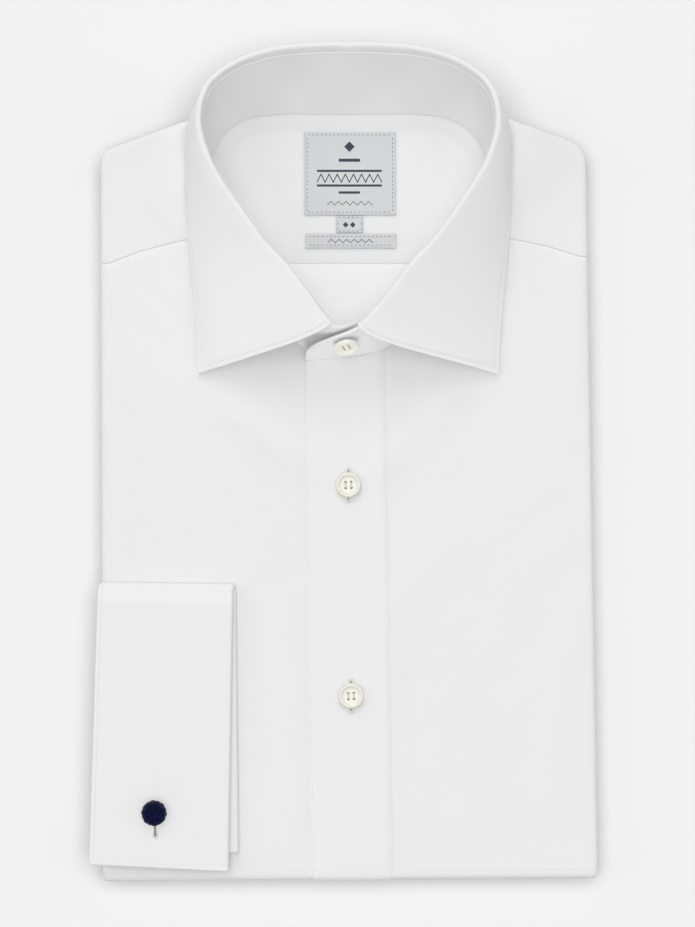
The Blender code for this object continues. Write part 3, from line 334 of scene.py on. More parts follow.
COLLAR_BUTTON_X = -1.8
# Silk knot, in shares of its radius: cord, reach of its middle line, swing over and under, core
KNOT_FULLNESS, KNOT_SAG = 1.10, 0.5
KNOT_LEADS, KNOT_BIGHTS, KNOT_LATITUDE = 3, 7, 1.12
KNOT_CORD, KNOT_CORDS_IN, KNOT_SWING, KNOT_CORE = 0.19, 1.75, 0.55, 0.66
BAR_RADIUS, BAR_END, BAR_STRAIGHT = 0.42, 0.8, 0.6
BAR_ENTRY_X, BAR_ENTRY_Y = -86.5, -168.0
BAR_BOW, BAR_DEPTHS = (0.0, 0.1, 0.6), (1.5, 0.4)
EYELET_ACROSS, EYELET_ALONG, EYELET_CORD = 1.0, 1.9, 0.32
EYELET_LIFT, EYELET_OFFSET = 0.02, 0.4
LABELS = (
    # name, x_low, x_high, y_low, y_high
    ("label_main", -20, 21.3, 110.5, 148),
    ("label_size", -5.5, 6.6, 102.6, 110.1),
    ("label_strip", -19.6, 21.6, 95.6, 102.2),
)
LABEL_DESIGNS = {
    # Woven shapes: boxes as (low u, high u, low v, high v), zigzags with pitch and half width
    "label_main": (
        ("lozenge", 20.6, 31, 2.4),
        ("box", (15.8, 25.4, 24.2, 25.6)),
        ("box", (6, 35.2, 19.6, 20.6)),
        ("zigzag", (6, 35.2, 15, 18.6), 3.65, 0.5),
        ("box", (6, 35.2, 13, 14)),
        ("box", (15.8, 25.4, 9.8, 10.9)),
        ("zigzag", (10.6, 31, 4.6, 6.4), 3.4, 0.2),
    ),
    "label_size": (("lozenge", 4.4, 3.7, 1.3), ("lozenge", 7.6, 3.7, 1.3)),
    "label_strip": (("zigzag", (10.5, 30.9, 2.6, 4.2), 3.4, 0.2),),
}
LABEL_CURL, LABEL_CURL_POWER = 0.25, 6
LABEL_STITCH_IN, SIZE_LABEL_STITCH_IN = 1.5, 0.9
LABEL_STITCH = {"radius": 0.13, "length": 1.0, "gap": 0.8}

# Inside of the neck: the inner yoke laps over the back, and both rise to the foot of the collar
INNER_TOP_Z = 16.2
INNER_LEFT, INNER_RIGHT = -66.0, 66.0
INNER_SEAM_Y = 89.0
INNER_BACK_Y = 157.0
INNER_BACK_INSET = 7.5
INNER_FRONT_Y = 34.0
INNER_BACK_RISE, INNER_BACK_RISE_END, INNER_BACK_RISE_RAMP = 0.8, 8.0, 30.0
INNER_FRONT_RISE_Y, INNER_FRONT_RISE_RAMP = 50.0, 8.0
INNER_YOKE_EDGE, INNER_YOKE_LIFT = 0.5, 0.15
INNER_SEAM_SINK, INNER_SEAM_WIDTH = 0.16, 1.3
INNER_LAP, INNER_LAP_GAP, INNER_LAP_START, INNER_LAP_RAMP = 2.5, 0.2, 1.0, 1.6
NECK_RISE, NECK_RAMP, NECK_RISE_FULL = 1.6, 9.0, 1.6
NECK_RISE_OUTSIDE, NECK_RISE_OUTSIDE_RAMP = 2.2, 1.8
STAND_FOOT_DROP = 0.7

# Lines of stitching, in from the edge that they follow
LEAF_STITCH_IN = 2.6
BAND_STITCH_IN = 2.2
CUFF_STITCH_IN = 2.2
SEAM_STITCH_IN = 1.5
STAND_STITCH_IN = 1.6
LEAF_STITCH_START = 3.0
# A stitch: rings along it, sides, how far it rises and sinks, and how flat it is
STITCH_RINGS, STITCH_SIDES = 7, 6
STITCH_RISE, STITCH_SINK, STITCH_FLATNESS = 0.9, 0.2, 0.8

# Finishes
COTTONS = {
    # finish: (tone of the cloth, uneven threads, ripple, ripple's scale, light let through); a tone
    # other than 1 is painted light, a lighter or darker copy of the one shirt cotton that stands in
    # for the light on that piece
    "cotton_body": (1.0, 0.030, 0.10, 36.0, 0.0),
    "cotton_pressed": (1.037, 0.022, 0.05, 30.0, 0.3),
    "cotton_leaf": (1.022, 0.022, 0.05, 30.0, 0.3),
    "cotton_cuff": (1.016, 0.030, 0.10, 36.0, 0.0),
    "cotton_inner": (0.985, 0.030, 0.10, 40.0, 0.0),
    "cotton_back": (1.07, 0.030, 0.10, 40.0, 0.0),
}
THREADS = {
    # finish: (colour that it follows, tone)
    "sewing_thread": ("cloth", 0.98),
    "button_sewing_thread": ("button", 0.94),
    "label_sewing_thread": ("label_thread", 1.0),
}
PLAIN_FINISHES = {
    # finish: (colour, roughness, metallic)
    "slit_shadow": ((0.24, 0.235, 0.22), 0.9, 0.0),
    "cord_metal": ((0.36, 0.33, 0.28), 0.4, 0.7),
}
# Stretch of the uneven threads' noise, along and across, and their share beside the broad clouds
THREAD_STRETCH = ((2600.0, 160.0, 1.0), (160.0, 2600.0, 1.0))
THREAD_SHARE, CLOUD_SHARE = 0.7, 0.3
TWIST_TURNS, BRAID_TURNS, BRAID_STARTS = 9000.0, 7000.0, 8
LABEL_RIB = 0.0005

# Studio, in metres and degrees: a light's tilt is from straight above, its bearing from +Y
FLOOR_Z, FLOOR_HALF = -3.2e-4, 3
CAMERA_X, CAMERA_Y, CAMERA_HEIGHT = 0.00143, 0.00120, 1.4
FOCAL_PIXELS, PICTURE_HEIGHT, SENSOR = 3068.9, 927.0, 36.0
SUNS = (
    # setting, tilt, bearing, spread
    ("overhead", 3.0, 10.0, 42.0),
    ("fill", 3.0, 10.0, 42.0),
    ("upper", 50.0, 8.0, 34.0),
    ("left", 52.0, 82.0, 40.0),
    ("right", 52.0, -80.0, 40.0),
    ("lower", 50.0, 178.0, 40.0),
)
FLOOR_SUN, LEAF_SUN = (6.5, 0.0, 52.0), (89.2, 180.0, 2.0)
# The small lamp before the collar: where it stands and what it faces, in millimetres, and its size
COLLAR_LIGHT_AT, TAB_AT = (0.7, -15.0, 56.0), (0.7, 45.0, 30.0)
COLLAR_LIGHT_SIZE = (0.05, 0.02)

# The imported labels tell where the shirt's own frame lies in the row's frame
_label_low = np.array(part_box("label_main")[0]) / MM
SHIFT = np.array([_label_low[0] - LABELS[0][1], _label_low[1] - LABELS[0][3], 0.0])


# --- sizes and colours that a user would change -------------------------------------------------


class ShirtSizes(bpy.types.PropertyGroup):
    fold_height: bpy.props.FloatProperty(
        name="Fold height", description="Height of the soft folds, as a share of the usual height",
        default=1.0, min=0.0, max=2.0, subtype="FACTOR")
    stitch_length: bpy.props.FloatProperty(
        name="Stitch length", description="Length of one visible stitch",
        default=0.0019, min=0.0005, max=0.006, unit="LENGTH", precision=4)
    stitch_gap: bpy.props.FloatProperty(
        name="Stitch gap", description="Gap between two stitches",
        default=0.0005, min=0.0001, max=0.004, unit="LENGTH", precision=4)
    thread_radius: bpy.props.FloatProperty(
        name="Thread radius", description="Half the thickness of the sewing thread",
        default=0.00014, min=0.00005, max=0.001, unit="LENGTH", precision=5)
    weave_pitch: bpy.props.FloatProperty(
        name="Weave pitch", description="Distance between two threads of the cloth",
        default=0.0006, min=0.0002, max=0.003, unit="LENGTH", precision=4)


class ShirtColours(bpy.types.PropertyGroup):
    cloth: bpy.props.FloatVectorProperty(
        name="Cloth", description="Colour of the cotton", default=(0.836, 0.836, 0.836),
        subtype="COLOR", size=3, min=0.0, max=1.0)
    label: bpy.props.FloatVectorProperty(
        name="Label", description="Ground colour of the woven labels", default=(0.64, 0.643, 0.655),
        subtype="COLOR", size=3, min=0.0, max=1.0)
    label_thread: bpy.props.FloatVectorProperty(
        name="Label thread", description="Colour of the thread woven and sewn on the labels",
        default=(0.035, 0.038, 0.055), subtype="COLOR", size=3, min=0.0, max=1.0)
    button: bpy.props.FloatVectorProperty(
        name="Button", description="Colour of the buttons", default=(0.86, 0.845, 0.76),
        subtype="COLOR", size=3, min=0.0, max=1.0)
    silk: bpy.props.FloatVectorProperty(
        name="Silk", description="Colour of the silk knot", default=(0.002, 0.004, 0.030),
        subtype="COLOR", size=3, min=0.0, max=1.0)


class StudioSettings(bpy.types.PropertyGroup):
    overhead: bpy.props.FloatProperty(
        name="Overhead light", description="Share of the light that comes from above",
        default=0.18, min=0.0, subtype="FACTOR")
    upper: bpy.props.FloatProperty(
        name="Upper light", description="Share of the light that comes low from above the collar",
        default=0.17, min=0.0, subtype="FACTOR")
    left: bpy.props.FloatProperty(
        name="Left light", description="Share of the light that comes low from the left",
        default=0.105, min=0.0, subtype="FACTOR")
    right: bpy.props.FloatProperty(
        name="Right light", description="Share of the light that comes low from the right",
        default=0.08, min=0.0, subtype="FACTOR")
    lower: bpy.props.FloatProperty(
        name="Lower light", description="Share of the light that comes low from the hem's side",
        default=0.065, min=0.0, subtype="FACTOR")
    sky: bpy.props.FloatProperty(
        name="Sky", description="Share of the light that comes evenly from all round",
        default=0.225, min=0.0, subtype="FACTOR")
    floor_light: bpy.props.FloatProperty(
        name="Floor light", description="Extra light on the floor alone, which keeps it pale",
        default=1.63, min=0.0, subtype="FACTOR")
    collar_light: bpy.props.FloatProperty(
        name="Collar light", description="Light of the lamp on the stand and its button alone",
        default=1.02, min=0.0, subtype="FACTOR")
    fill: bpy.props.FloatProperty(
        name="Fill", description="Overhead light that also reaches what the collar leaf covers",
        default=0.17, min=0.0, subtype="FACTOR")
    leaf_light: bpy.props.FloatProperty(
        name="Leaf light", description="Extra low light on the leaf alone, from the hem's side",
        default=0.0039, min=0.0, subtype="FACTOR", precision=4)
    floor: bpy.props.FloatVectorProperty(
        name="Floor", description="Colour of the floor", default=(0.36, 0.36, 0.36),
        subtype="COLOR", size=3, min=0.0, max=1.0)


def sizes():
    """The sizes that a user may change."""
    return bpy.context.scene.shirt_sizes


def colours():
    """The colours that a user may change."""
    return bpy.context.scene.shirt_colours


# --- curves and surfaces ------------------------------------------------------------------------


def smooth(xs, ys, x):
    """Cubic Hermite curve through a short table, with slopes from the neighbouring rows."""
    xs, ys = np.asarray(xs, float), np.asarray(ys, float)
    x = np.clip(np.asarray(x, float), xs[0], xs[-1])
    slopes = np.gradient(ys, xs, axis=0)
    row = np.clip(np.searchsorted(xs, x, side="right") - 1, 0, len(xs) - 2)
    span = xs[row + 1] - xs[row]
    t = (x - xs[row]) / span
    if ys.ndim > 1:
        t, span = t[..., None], span[..., None]
    start = (1 + 2 * t) * (1 - t) ** 2 * ys[row] + t * (1 - t) ** 2 * span * slopes[row]
    end = t * t * (3 - 2 * t) * ys[row + 1] + t * t * (t - 1) * span * slopes[row + 1]
    return start + end


def column(rows, index):
    """One column of a table."""
    return np.array([row[index] for row in rows], float)


def unit(vectors):
    """Vectors of length one."""
    return vectors / np.maximum(np.linalg.norm(vectors, axis=-1, keepdims=True), 1e-9)


def ease(t):
    """0 below 0, 1 above 1, and 3t^2 - 2t^3 between."""
    t = np.clip(t, 0, 1)
    return t * t * (3 - 2 * t)


def between(start, end, share):
    """start + (end - start) * share."""
    return start + (end - start) * share


def path_travel(path):
    """Distance travelled along a path of points."""
    steps = np.linalg.norm(np.diff(path, axis=0), axis=1)
    return np.concatenate([[0], np.cumsum(steps)])


def interpolated(asked, known, values):
    """Every column of a table of values, read off at the asked places."""
    columns = [np.interp(asked, known, values[..., k].ravel()) for k in range(values.shape[-1])]
    return np.stack(columns, -1)


def folds(table, x, y):
    """Sum of bells: height * exp(-(distance across / half width)^2), faded past a fold's ends."""
    total = np.zeros(np.broadcast(x, y).shape)
    for start_x, start_y, end_x, end_y, height, half_width in table:
        along_x, along_y = end_x - start_x, end_y - start_y
        length = math.hypot(along_x, along_y)
        along = ((x - start_x) * along_x + (y - start_y) * along_y) / length
        across = ((x - start_x) * along_y - (y - start_y) * along_x) / length
        past = np.maximum(np.maximum(-along, along - length), 0)
        fade = (across / half_width) ** 2 + (past / (FOLD_FADE * half_width)) ** 2
        total = total + height * np.exp(-fade)
    return total


def relief(x, y):
    """Lift of the cloth over the stack: crown * (1 - x^2)(1 - y^2), soft folds and fine creases."""
    lift = CROWN * np.clip(1 - (x / CROWN_HALF_WIDTH) ** 2, 0, 1)
    lift = lift * np.clip(1 - (y / CROWN_HALF_LENGTH) ** 2, 0, 1)
    lift = lift + folds(SOFT_FOLDS, x, y)
    return lift + sizes().fold_height * folds(FINE_CREASES, x, y)


def settle(points):
    """Shift points up by the relief times z / stack height, and the underside by its creases."""
    points = np.array(points, float)
    x, y, z = points[..., 0], points[..., 1], points[..., 2]
    upper = np.clip(z / STACK_HEIGHT, 0, 1)
    lower = np.clip(1 - z / HALF_STACK, 0, 1)
    points[..., 2] = z + relief(x, y) * upper + folds(UNDER_CREASES, x, y) * lower
    return points


def side_x(y, ends):
    """X of an outer edge: a straight line between its two ends."""
    share = (np.asarray(y, float) - SIDE_TOP_Y) / (SIDE_BOTTOM_Y - SIDE_TOP_Y)
    return between(*ends, share)


def left_side(y):
    """X of the left edge."""
    return side_x(y, (LEFT_SIDE_TOP, LEFT_SIDE_BOTTOM))


def right_side(y):
    """X of the right edge."""
    return side_x(y, (RIGHT_SIDE_TOP, RIGHT_SIDE_BOTTOM))


def bend_line(x):
    """Y at which the stack starts to bend round its lower end."""
    share = (np.asarray(x, float) - LEFT_SIDE_BOTTOM) / (RIGHT_SIDE_BOTTOM - LEFT_SIDE_BOTTOM)
    return between(HEM_LEFT_Y, HEM_RIGHT_Y, share) + BEND_OUT


def shoulder_line(x):
    """Y of the outer edge over the shoulders."""
    return smooth(column(SHOULDER_LINE, 0), column(SHOULDER_LINE, 1), x)


def tail_line(x):
    """Y of the shirt tail's edge on the underside: tail y - rise * (x / half width)^2."""
    return TAIL_Y - TAIL_RISE * (np.asarray(x, float) / CROWN_HALF_WIDTH) ** 2


def squarish(angle, power=ROLL_POWER):
    """Sideways and upward shares of a superellipse: |sin a|^(2/p) and cos a |cos a|^(2/p - 1)."""
    sine, cosine = np.abs(np.sin(angle)), np.cos(angle)
    return sine ** (2 / power), np.sign(cosine) * np.abs(cosine) ** (2 / power)


def even_angles(out, half_height, steps, power=ROLL_POWER):
    """Angles from 0 to pi that share a superellipse's length evenly."""
    dense = np.linspace(0, math.pi, 2001)
    across, up = squarish(dense, power)
    length = np.hypot(np.diff(out * across), np.diff(half_height * up))
    travel = np.concatenate([[0], np.cumsum(length)])
    return np.interp(np.linspace(0, travel[-1], steps), travel, dense)


def side_roll(angle, depth):
    """Half superellipse: reach outwards and drop from the top, at a depth inside its surface."""
    across, up = squarish(angle)
    return (ROLL_OUT - depth) * across, ROLL_HALF_HEIGHT - (ROLL_HALF_HEIGHT - depth) * up


def bottom_bend(drop, angle):
    """Half superellipse: reach outwards and height of a layer that far below the top."""
    radius = HALF_STACK - drop
    across, up = squarish(angle, BEND_POWER)
    reach = BEND_OUT * radius / HALF_STACK * across
    inward = BEND_OUT * (1 - across)
    grooves = sum(depth * np.exp(-((inward - place) / width) ** 2)
                  for place, depth, width in LAYER_GROOVES)
    return reach, HALF_STACK + radius * up - grooves * (np.sin(angle) > 1e-9)


def seat_line(x):
    """Y of the seam at the foot of the collar, from the end of its tab to the shoulder."""
    rows = sorted((row[3], row[4]) for row in COLLAR_ROWS[7:] + OUTER_TAB_ROWS)
    return smooth(column(rows, 0), column(rows, 1), x)


def travel_along(grid, axis):
    """Distance travelled along one axis of a grid of points."""
    steps = np.linalg.norm(np.diff(grid, axis=axis), axis=-1)
    pad = [(0, 0), (0, 0)]
    pad[axis] = (1, 0)
    return np.pad(np.cumsum(steps, axis=axis), pad)


def respace(grid, axis, count, low_edge=False, high_edge=False):
    """The same surface with count places along an axis, even in distance, close at free edges."""
    grid = np.moveaxis(np.asarray(grid, float), axis, 1)
    travel = travel_along(grid, 1)
    total = travel[:, -1:]
    near = np.array(EDGE_STEPS) * min(1.0, EDGE_SHARE * float(total.min()) / EDGE_STEPS[-1])
    start = near if low_edge else near[:1]
    end = near[::-1] if high_edge else near[:1]
    inner = np.linspace(0, 1, count - len(start) - len(end) + 2)[None, 1:-1]
    span = total - start[-1] - end[0]
    places = np.concatenate([
        np.broadcast_to(start, (len(grid), len(start))),
        start[-1] + span * inner,
        total - np.broadcast_to(end, (len(grid), len(end))),
    ], 1)
    rows = 2.0 * np.arange(len(grid))[:, None]
    known = (travel / total + rows).ravel()
    asked = np.clip(places / total, 0, 1) + rows
    return np.moveaxis(interpolated(asked, known, grid), 1, axis)


def edge_distance(grid, free):
    """Distance in from the nearest free edge; free holds any of low0, high0, low1 and high1."""
    distance = np.full(grid.shape[:2], 1e3)
    for axis in (0, 1):
        travel = travel_along(grid, axis)
        total = travel[-1:] if axis == 0 else travel[:, -1:]
        if f"low{axis}" in free:
            distance = np.minimum(distance, travel)
        if f"high{axis}" in free:
            distance = np.minimum(distance, total - travel)
    return distance


def surface_normals(grid):
    """Unit normals of a grid of points, from its neighbours."""
    return unit(np.cross(np.gradient(grid, axis=0), np.gradient(grid, axis=1)))


def sewn_profile(distance, inset):
    """Height over a stitched edge: a ridge outside the stitches and a narrow groove on them."""
    inward = distance - inset
    ridge = SEWN_RIDGE * (1 - ease((inward + SEWN_RIDGE_START) / SEWN_RIDGE_RAMP))
    groove = -SEWN_GROOVE * np.exp(-(inward / SEWN_GROOVE_WIDTH) ** 2)
    return ridge + groove


def walled(middle, thickness, free=(), stitch_in=None, flip=False):
    """Outer and inner grids of a cloth wall, each half the thickness from its middle surface.

    Near a free edge half the thickness shrinks as a half circle, sqrt(1 - (1 - d / r)^2).
    """
    normal = surface_normals(middle)
    normal = -normal if flip else normal
    distance = edge_distance(middle, free)
    radius = 0.5 * thickness
    inward = np.clip(distance / radius, 0, 1)
    rounding = np.sqrt(np.clip(1 - (1 - inward) ** 2, LEAST_ROUNDING, 1))
    half = (radius * rounding)[..., None]
    rise = sewn_profile(distance, stitch_in)[..., None] if stitch_in else 0.0
    return middle + normal * (half + rise * rounding[..., None]), middle - normal * half


def wall_arrays(outer, inner):
    """Vertices, faces and flat coordinates of a closed wall between two matching grids."""
    rows, cols = outer.shape[:2]
    top = np.arange(rows * cols).reshape(rows, cols)
    low = top + rows * cols

    def quads(a, b, c, d):
        """Faces with those four corners."""
        return np.stack([a.ravel(), b.ravel(), c.ravel(), d.ravel()], 1)

    faces = np.concatenate([
        quads(top[:-1, :-1], top[1:, :-1], top[1:, 1:], top[:-1, 1:]),
        quads(low[:-1, :-1], low[:-1, 1:], low[1:, 1:], low[1:, :-1]),
        quads(top[:-1, 0], low[:-1, 0], low[1:, 0], top[1:, 0]),
        quads(top[:-1, -1], top[1:, -1], low[1:, -1], low[:-1, -1]),
        quads(top[0, :-1], top[0, 1:], low[0, 1:], low[0, :-1]),
        quads(top[-1, :-1], low[-1, :-1], low[-1, 1:], top[-1, 1:]),
    ])
    flat = np.stack([travel_along(outer, 1), travel_along(outer, 0)], -1).reshape(-1, 2) * MM
    vertices = np.concatenate([outer.reshape(-1, 3), inner.reshape(-1, 3)])
    return vertices, faces, np.concatenate([flat, flat])


def tube_arrays(path, radius, sides, closed=False):
    """A round tube about a path: each ring is path + radius (cos a * across + sin a * other)."""
    path = np.asarray(path, float)
    ahead = np.roll(path, -1, 0) - np.roll(path, 1, 0) if closed else np.gradient(path, axis=0)
    tangent = unit(ahead)
    guide = np.array([0.0, 0.0, 1.0]) + 1e-3 * path[:1]
    across = unit(np.cross(tangent, np.broadcast_to(guide, tangent.shape)))
    other = np.cross(tangent, across)
    turn = np.linspace(0, 2 * math.pi, sides + 1)[:-1]
    spread = across[:, None] * np.cos(turn)[:, None] + other[:, None] * np.sin(turn)[:, None]
    rings = path[:, None] + spread * np.broadcast_to(radius, (len(path),))[:, None, None]
    index = np.arange(len(path) * sides).reshape(len(path), sides)
    ahead_index = np.roll(index, -1, 0) if closed else index[1:]
    here = index if closed else index[:-1]
    round_here, round_ahead = np.roll(here, -1, 1), np.roll(ahead_index, -1, 1)
    faces = np.stack([here, round_here, round_ahead, ahead_index], -1).reshape(-1, 4)
    along = path_travel(path)[:, None] * MM
    flat = np.stack(np.broadcast_arrays(turn[None] / (2 * math.pi), along), -1)
    return rings.reshape(-1, 3), faces, flat.reshape(-1, 2)


def turned_arrays(profile, segments):
    """A solid turned about Z: (radius cos a, radius sin a, height) for each row of the profile."""
    profile = np.array(profile, float)
    turn = np.linspace(0, 2 * math.pi, segments + 1)[:-1]
    inside = profile[1:-1]
    rings = np.stack(np.broadcast_arrays(
        inside[:, :1] * np.cos(turn), inside[:, :1] * np.sin(turn), inside[:, 1:]), -1)
    index = np.arange(len(inside) * segments).reshape(len(inside), segments)
    after = np.roll(index, -1, 1)
    faces = np.stack([index[:-1], after[:-1], after[1:], index[1:]], -1).reshape(-1, 4).tolist()
    low, high = index.size, index.size + 1
    faces += np.stack([np.full(segments, low), after[0], index[0]], -1).tolist()
    faces += np.stack([np.full(segments, high), index[-1], after[-1]], -1).tolist()
    ends = [(0, 0, profile[0, 1]), (0, 0, profile[-1, 1])]
    return np.concatenate([rings.reshape(-1, 3), ends]), faces


def joined(parts):
    """Several (vertices, faces, flat) as one."""
    offset, vertices, faces, flat = 0, [], [], []
    for some_vertices, some_faces, some_flat in parts:
        vertices.append(some_vertices)
        faces.append(np.asarray(some_faces) + offset)
        flat.append(some_flat)
        offset += len(some_vertices)
    return np.concatenate(vertices), np.concatenate(faces), np.concatenate(flat)


def placed(vertices, origin, right, up):
    """Local points set at an origin, with local X along right and local Z along up."""
    up = unit(np.asarray(up, float))
    right = unit(np.asarray(right, float) - up * np.dot(right, up))
    axes = np.stack([right, np.cross(up, right), up])
    return np.asarray(origin, float) + np.asarray(vertices, float) @ axes


def new_mesh(name, vertices, faces):
    """A mesh from points in millimetres in the shirt's own frame."""
    mesh = bpy.data.meshes.new(name)
    faces = faces.tolist() if isinstance(faces, np.ndarray) else faces
    mesh.from_pydata(((np.asarray(vertices) + SHIFT) * MM).tolist(), [], faces)
    return mesh


def face_outwards(mesh):
    """Turn every face of a closed mesh outwards."""
    shape = bmesh.new()
    shape.from_mesh(mesh)
    bmesh.ops.recalc_face_normals(shape, faces=shape.faces)
    shape.to_mesh(mesh)
    shape.free()


def new_object(name, data):
    """An object with that data, linked into the scene."""
    item = bpy.data.objects.new(name, data)
    bpy.context.scene.collection.objects.link(item)
    return item


def make_piece(name, vertices, faces, flat, material, slot, replaces=(), smooth_angle=SHARP_ANGLE):
    """One closed piece from points in millimetres, with its flat coordinates as a UV map."""
    mesh = new_mesh(name, vertices, faces)
    corners = np.empty(len(mesh.loops), dtype=np.int32)
    mesh.loops.foreach_get("vertex_index", corners)
    layer = mesh.uv_layers.new(name="cut")
    layer.data.foreach_set("uv", np.asarray(flat, np.float32)[corners].ravel())
    face_outwards(mesh)
    mesh.shade_smooth()
    mesh.set_sharp_from_angle(angle=math.radians(smooth_angle))
    mesh.materials.append(material)
    piece = new_object(name, mesh)
    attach(piece, "root")
    if replaces:
        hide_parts(*replaces)
    return piece


def cloth_piece(name, middle, thickness, free, material, replaces=(), stitch_in=None, flip=False,
                slot="cloth"):
    """A closed wall of cloth about a middle surface, with its outer and inner grids and normals."""
    outer, inner = walled(middle, thickness, free, stitch_in, flip)
    arrays = wall_arrays(outer, inner)
    piece = make_piece(name, *arrays, material, slot, replaces, CLOTH_SHARP_ANGLE)
    normal = surface_normals(middle)
    return piece, outer, inner, -normal if flip else normal


def cut_size(middle):
    """Width and length of a grid's flat cut, from its longest runs, and its area, in metres."""
    width = travel_along(middle, 1)[:, -1].max() * MM
    length = travel_along(middle, 0)[-1].max() * MM
    sides = np.diff(middle, axis=0)[:, :-1], np.diff(middle, axis=1)[:-1]
    area = np.linalg.norm(np.cross(*sides), axis=-1).sum() * MM * MM
    return (width, length), min(area, width * length)


def declare_cloth(middle, turned_in=0.0):
    """Size of a sheet's cut, with turned_in, the length sewn in out of sight, added to its length;
    nothing is kept or returned.
    """
    flat, area = cut_size(middle)
    flat = (flat[0], flat[1] + turned_in * MM)


# --- finishes -----------------------------------------------------------------------------------


def new_material(name, colour, roughness, sheen=0.0, specular=0.4):
    """A Principled finish in one colour, with its node tree and its shader."""
    material = bpy.data.materials.new(name)
    material.use_nodes = True
    tree = material.node_tree
    shader = tree.nodes["Principled BSDF"]
    shader.inputs["Base Color"].default_value = (*colour, 1.0)
    shader.inputs["Roughness"].default_value = roughness
    shader.inputs["Sheen Weight"].default_value = sheen
    shader.inputs["Sheen Roughness"].default_value = 0.5
    shader.inputs["Specular IOR Level"].default_value = specular
    return material, tree, shader


def add_node(tree, kind, inputs=(), **settings):
    """One node with its settings, and its inputs set or linked by name or place."""
    node = tree.nodes.new(kind)
    for key, value in settings.items():
        setattr(node, key, value)
    for key, value in dict(inputs).items():
        if isinstance(value, bpy.types.NodeSocket):
            tree.links.new(value, node.inputs[key])
        else:
            node.inputs[key].default_value = value
    return node


def math_node(tree, operation, first, second=0.0, third=0.0):
    """One Math node's value."""
    inputs = {0: first, 1: second, 2: third}
    return add_node(tree, "ShaderNodeMath", inputs, operation=operation).outputs[0]


def tint(tree, colour, factor, low, high):
    """The colour times a share that runs from low to high as the factor runs from 0 to 1."""
    share = add_node(tree, "ShaderNodeMapRange", {
        "Value": factor, "From Min": 0.0, "From Max": 1.0, "To Min": low, "To Max": high})
    return add_node(tree, "ShaderNodeVectorMath", {0: (*colour,), "Scale": share.outputs[0]},
                    operation="SCALE").outputs[0]


def noise(tree, vector, scale, detail=2.0, **more):
    """One noise texture's value at a vector."""
    inputs = {"Vector": vector, "Scale": scale, "Detail": detail, **more}
    return add_node(tree, "ShaderNodeTexNoise", inputs).outputs[0]


def object_place(tree):
    """The place in the object's own coordinates."""
    return add_node(tree, "ShaderNodeTexCoord").outputs["Object"]


def bumped(tree, shader, height, strength, distance):
    """Give a shader a bump of a height."""
    bump = add_node(tree, "ShaderNodeBump", {
        "Height": height, "Strength": strength, "Distance": distance})
    tree.links.new(bump.outputs[0], shader.inputs["Normal"])


def flat_coordinates(tree):
    """The two flat coordinates of the cut, in metres."""
    where = add_node(tree, "ShaderNodeUVMap", uv_map="cut").outputs[0]
    split = add_node(tree, "ShaderNodeSeparateXYZ", {0: where})
    return where, split.outputs[0], split.outputs[1]


def woven_height(tree, across, down, pitch):
    """Plain weave: sin(2 pi u / pitch) * sin(2 pi v / pitch), from -1 to 1."""
    wave = 2 * math.pi / pitch
    warp = math_node(tree, "SINE", math_node(tree, "MULTIPLY", across, wave))
    weft = math_node(tree, "SINE", math_node(tree, "MULTIPLY", down, wave))
    return math_node(tree, "MULTIPLY", warp, weft)


def cotton(name, colour, slub, ripple, ripple_size, see_through):
    """Poplin: a plain weave, faint uneven threads both ways, and a soft ripple of the cloth."""
    material, tree, shader = new_material(name, colour, 0.82, sheen=0.12, specular=0.25)
    where, across, down = flat_coordinates(tree)
    place = object_place(tree)
    shader.inputs["Subsurface Weight"].default_value = see_through
    shader.inputs["Subsurface Radius"].default_value = (1.0, 1.0, 1.0)
    shader.inputs["Subsurface Scale"].default_value = 0.0015
    threads = []
    for stretch in THREAD_STRETCH:
        moved = add_node(tree, "ShaderNodeVectorMath", {0: where, 1: stretch}, operation="MULTIPLY")
        threads.append(noise(tree, moved.outputs[0], 1.0))
    uneven = math_node(tree, "MULTIPLY", math_node(tree, "ADD", *threads), 0.5)
    cloud = noise(tree, place, 14.0)
    mixed = math_node(tree, "ADD", math_node(tree, "MULTIPLY", uneven, THREAD_SHARE),
                      math_node(tree, "MULTIPLY", cloud, CLOUD_SHARE))
    tree.links.new(tint(tree, colour, mixed, 1.0 - slub, 1.0 + slub), shader.inputs["Base Color"])
    wide = noise(tree, place, ripple_size, 3.0, Roughness=0.45)
    soft = add_node(tree, "ShaderNodeBump", {"Height": wide, "Strength": ripple, "Distance": 0.004})
    weave = woven_height(tree, across, down, sizes().weave_pitch)
    fine = add_node(tree, "ShaderNodeBump", {
        "Height": math_node(tree, "ADD", weave, uneven), "Strength": 0.10, "Distance": 0.00012,
        "Normal": soft.outputs[0]})
    tree.links.new(fine.outputs[0], shader.inputs["Normal"])
    return material


def thread_finish(name, colour):
    """Twisted thread: slanted stripes along each stitch, as a bump and as painted shade that
    darkens the twist's grooves to 0.86 of the thread's colour.
    """
    material, tree, shader = new_material(name, colour, 0.6, sheen=0.2, specular=0.35)
    _, round_it, along = flat_coordinates(tree)
    slant = math_node(tree, "ADD", math_node(tree, "MULTIPLY", along, TWIST_TURNS),
                      math_node(tree, "MULTIPLY", round_it, 2 * math.pi))
    stripe = math_node(tree, "MULTIPLY_ADD", math_node(tree, "SINE", slant), 0.5, 0.5)
    # Painted shade: the thread is darker where the stripes' bump is low, in the twist's grooves.
    tree.links.new(tint(tree, colour, stripe, 0.86, 1.0), shader.inputs["Base Color"])
    bumped(tree, shader, stripe, 0.3, 0.0001)
    return material


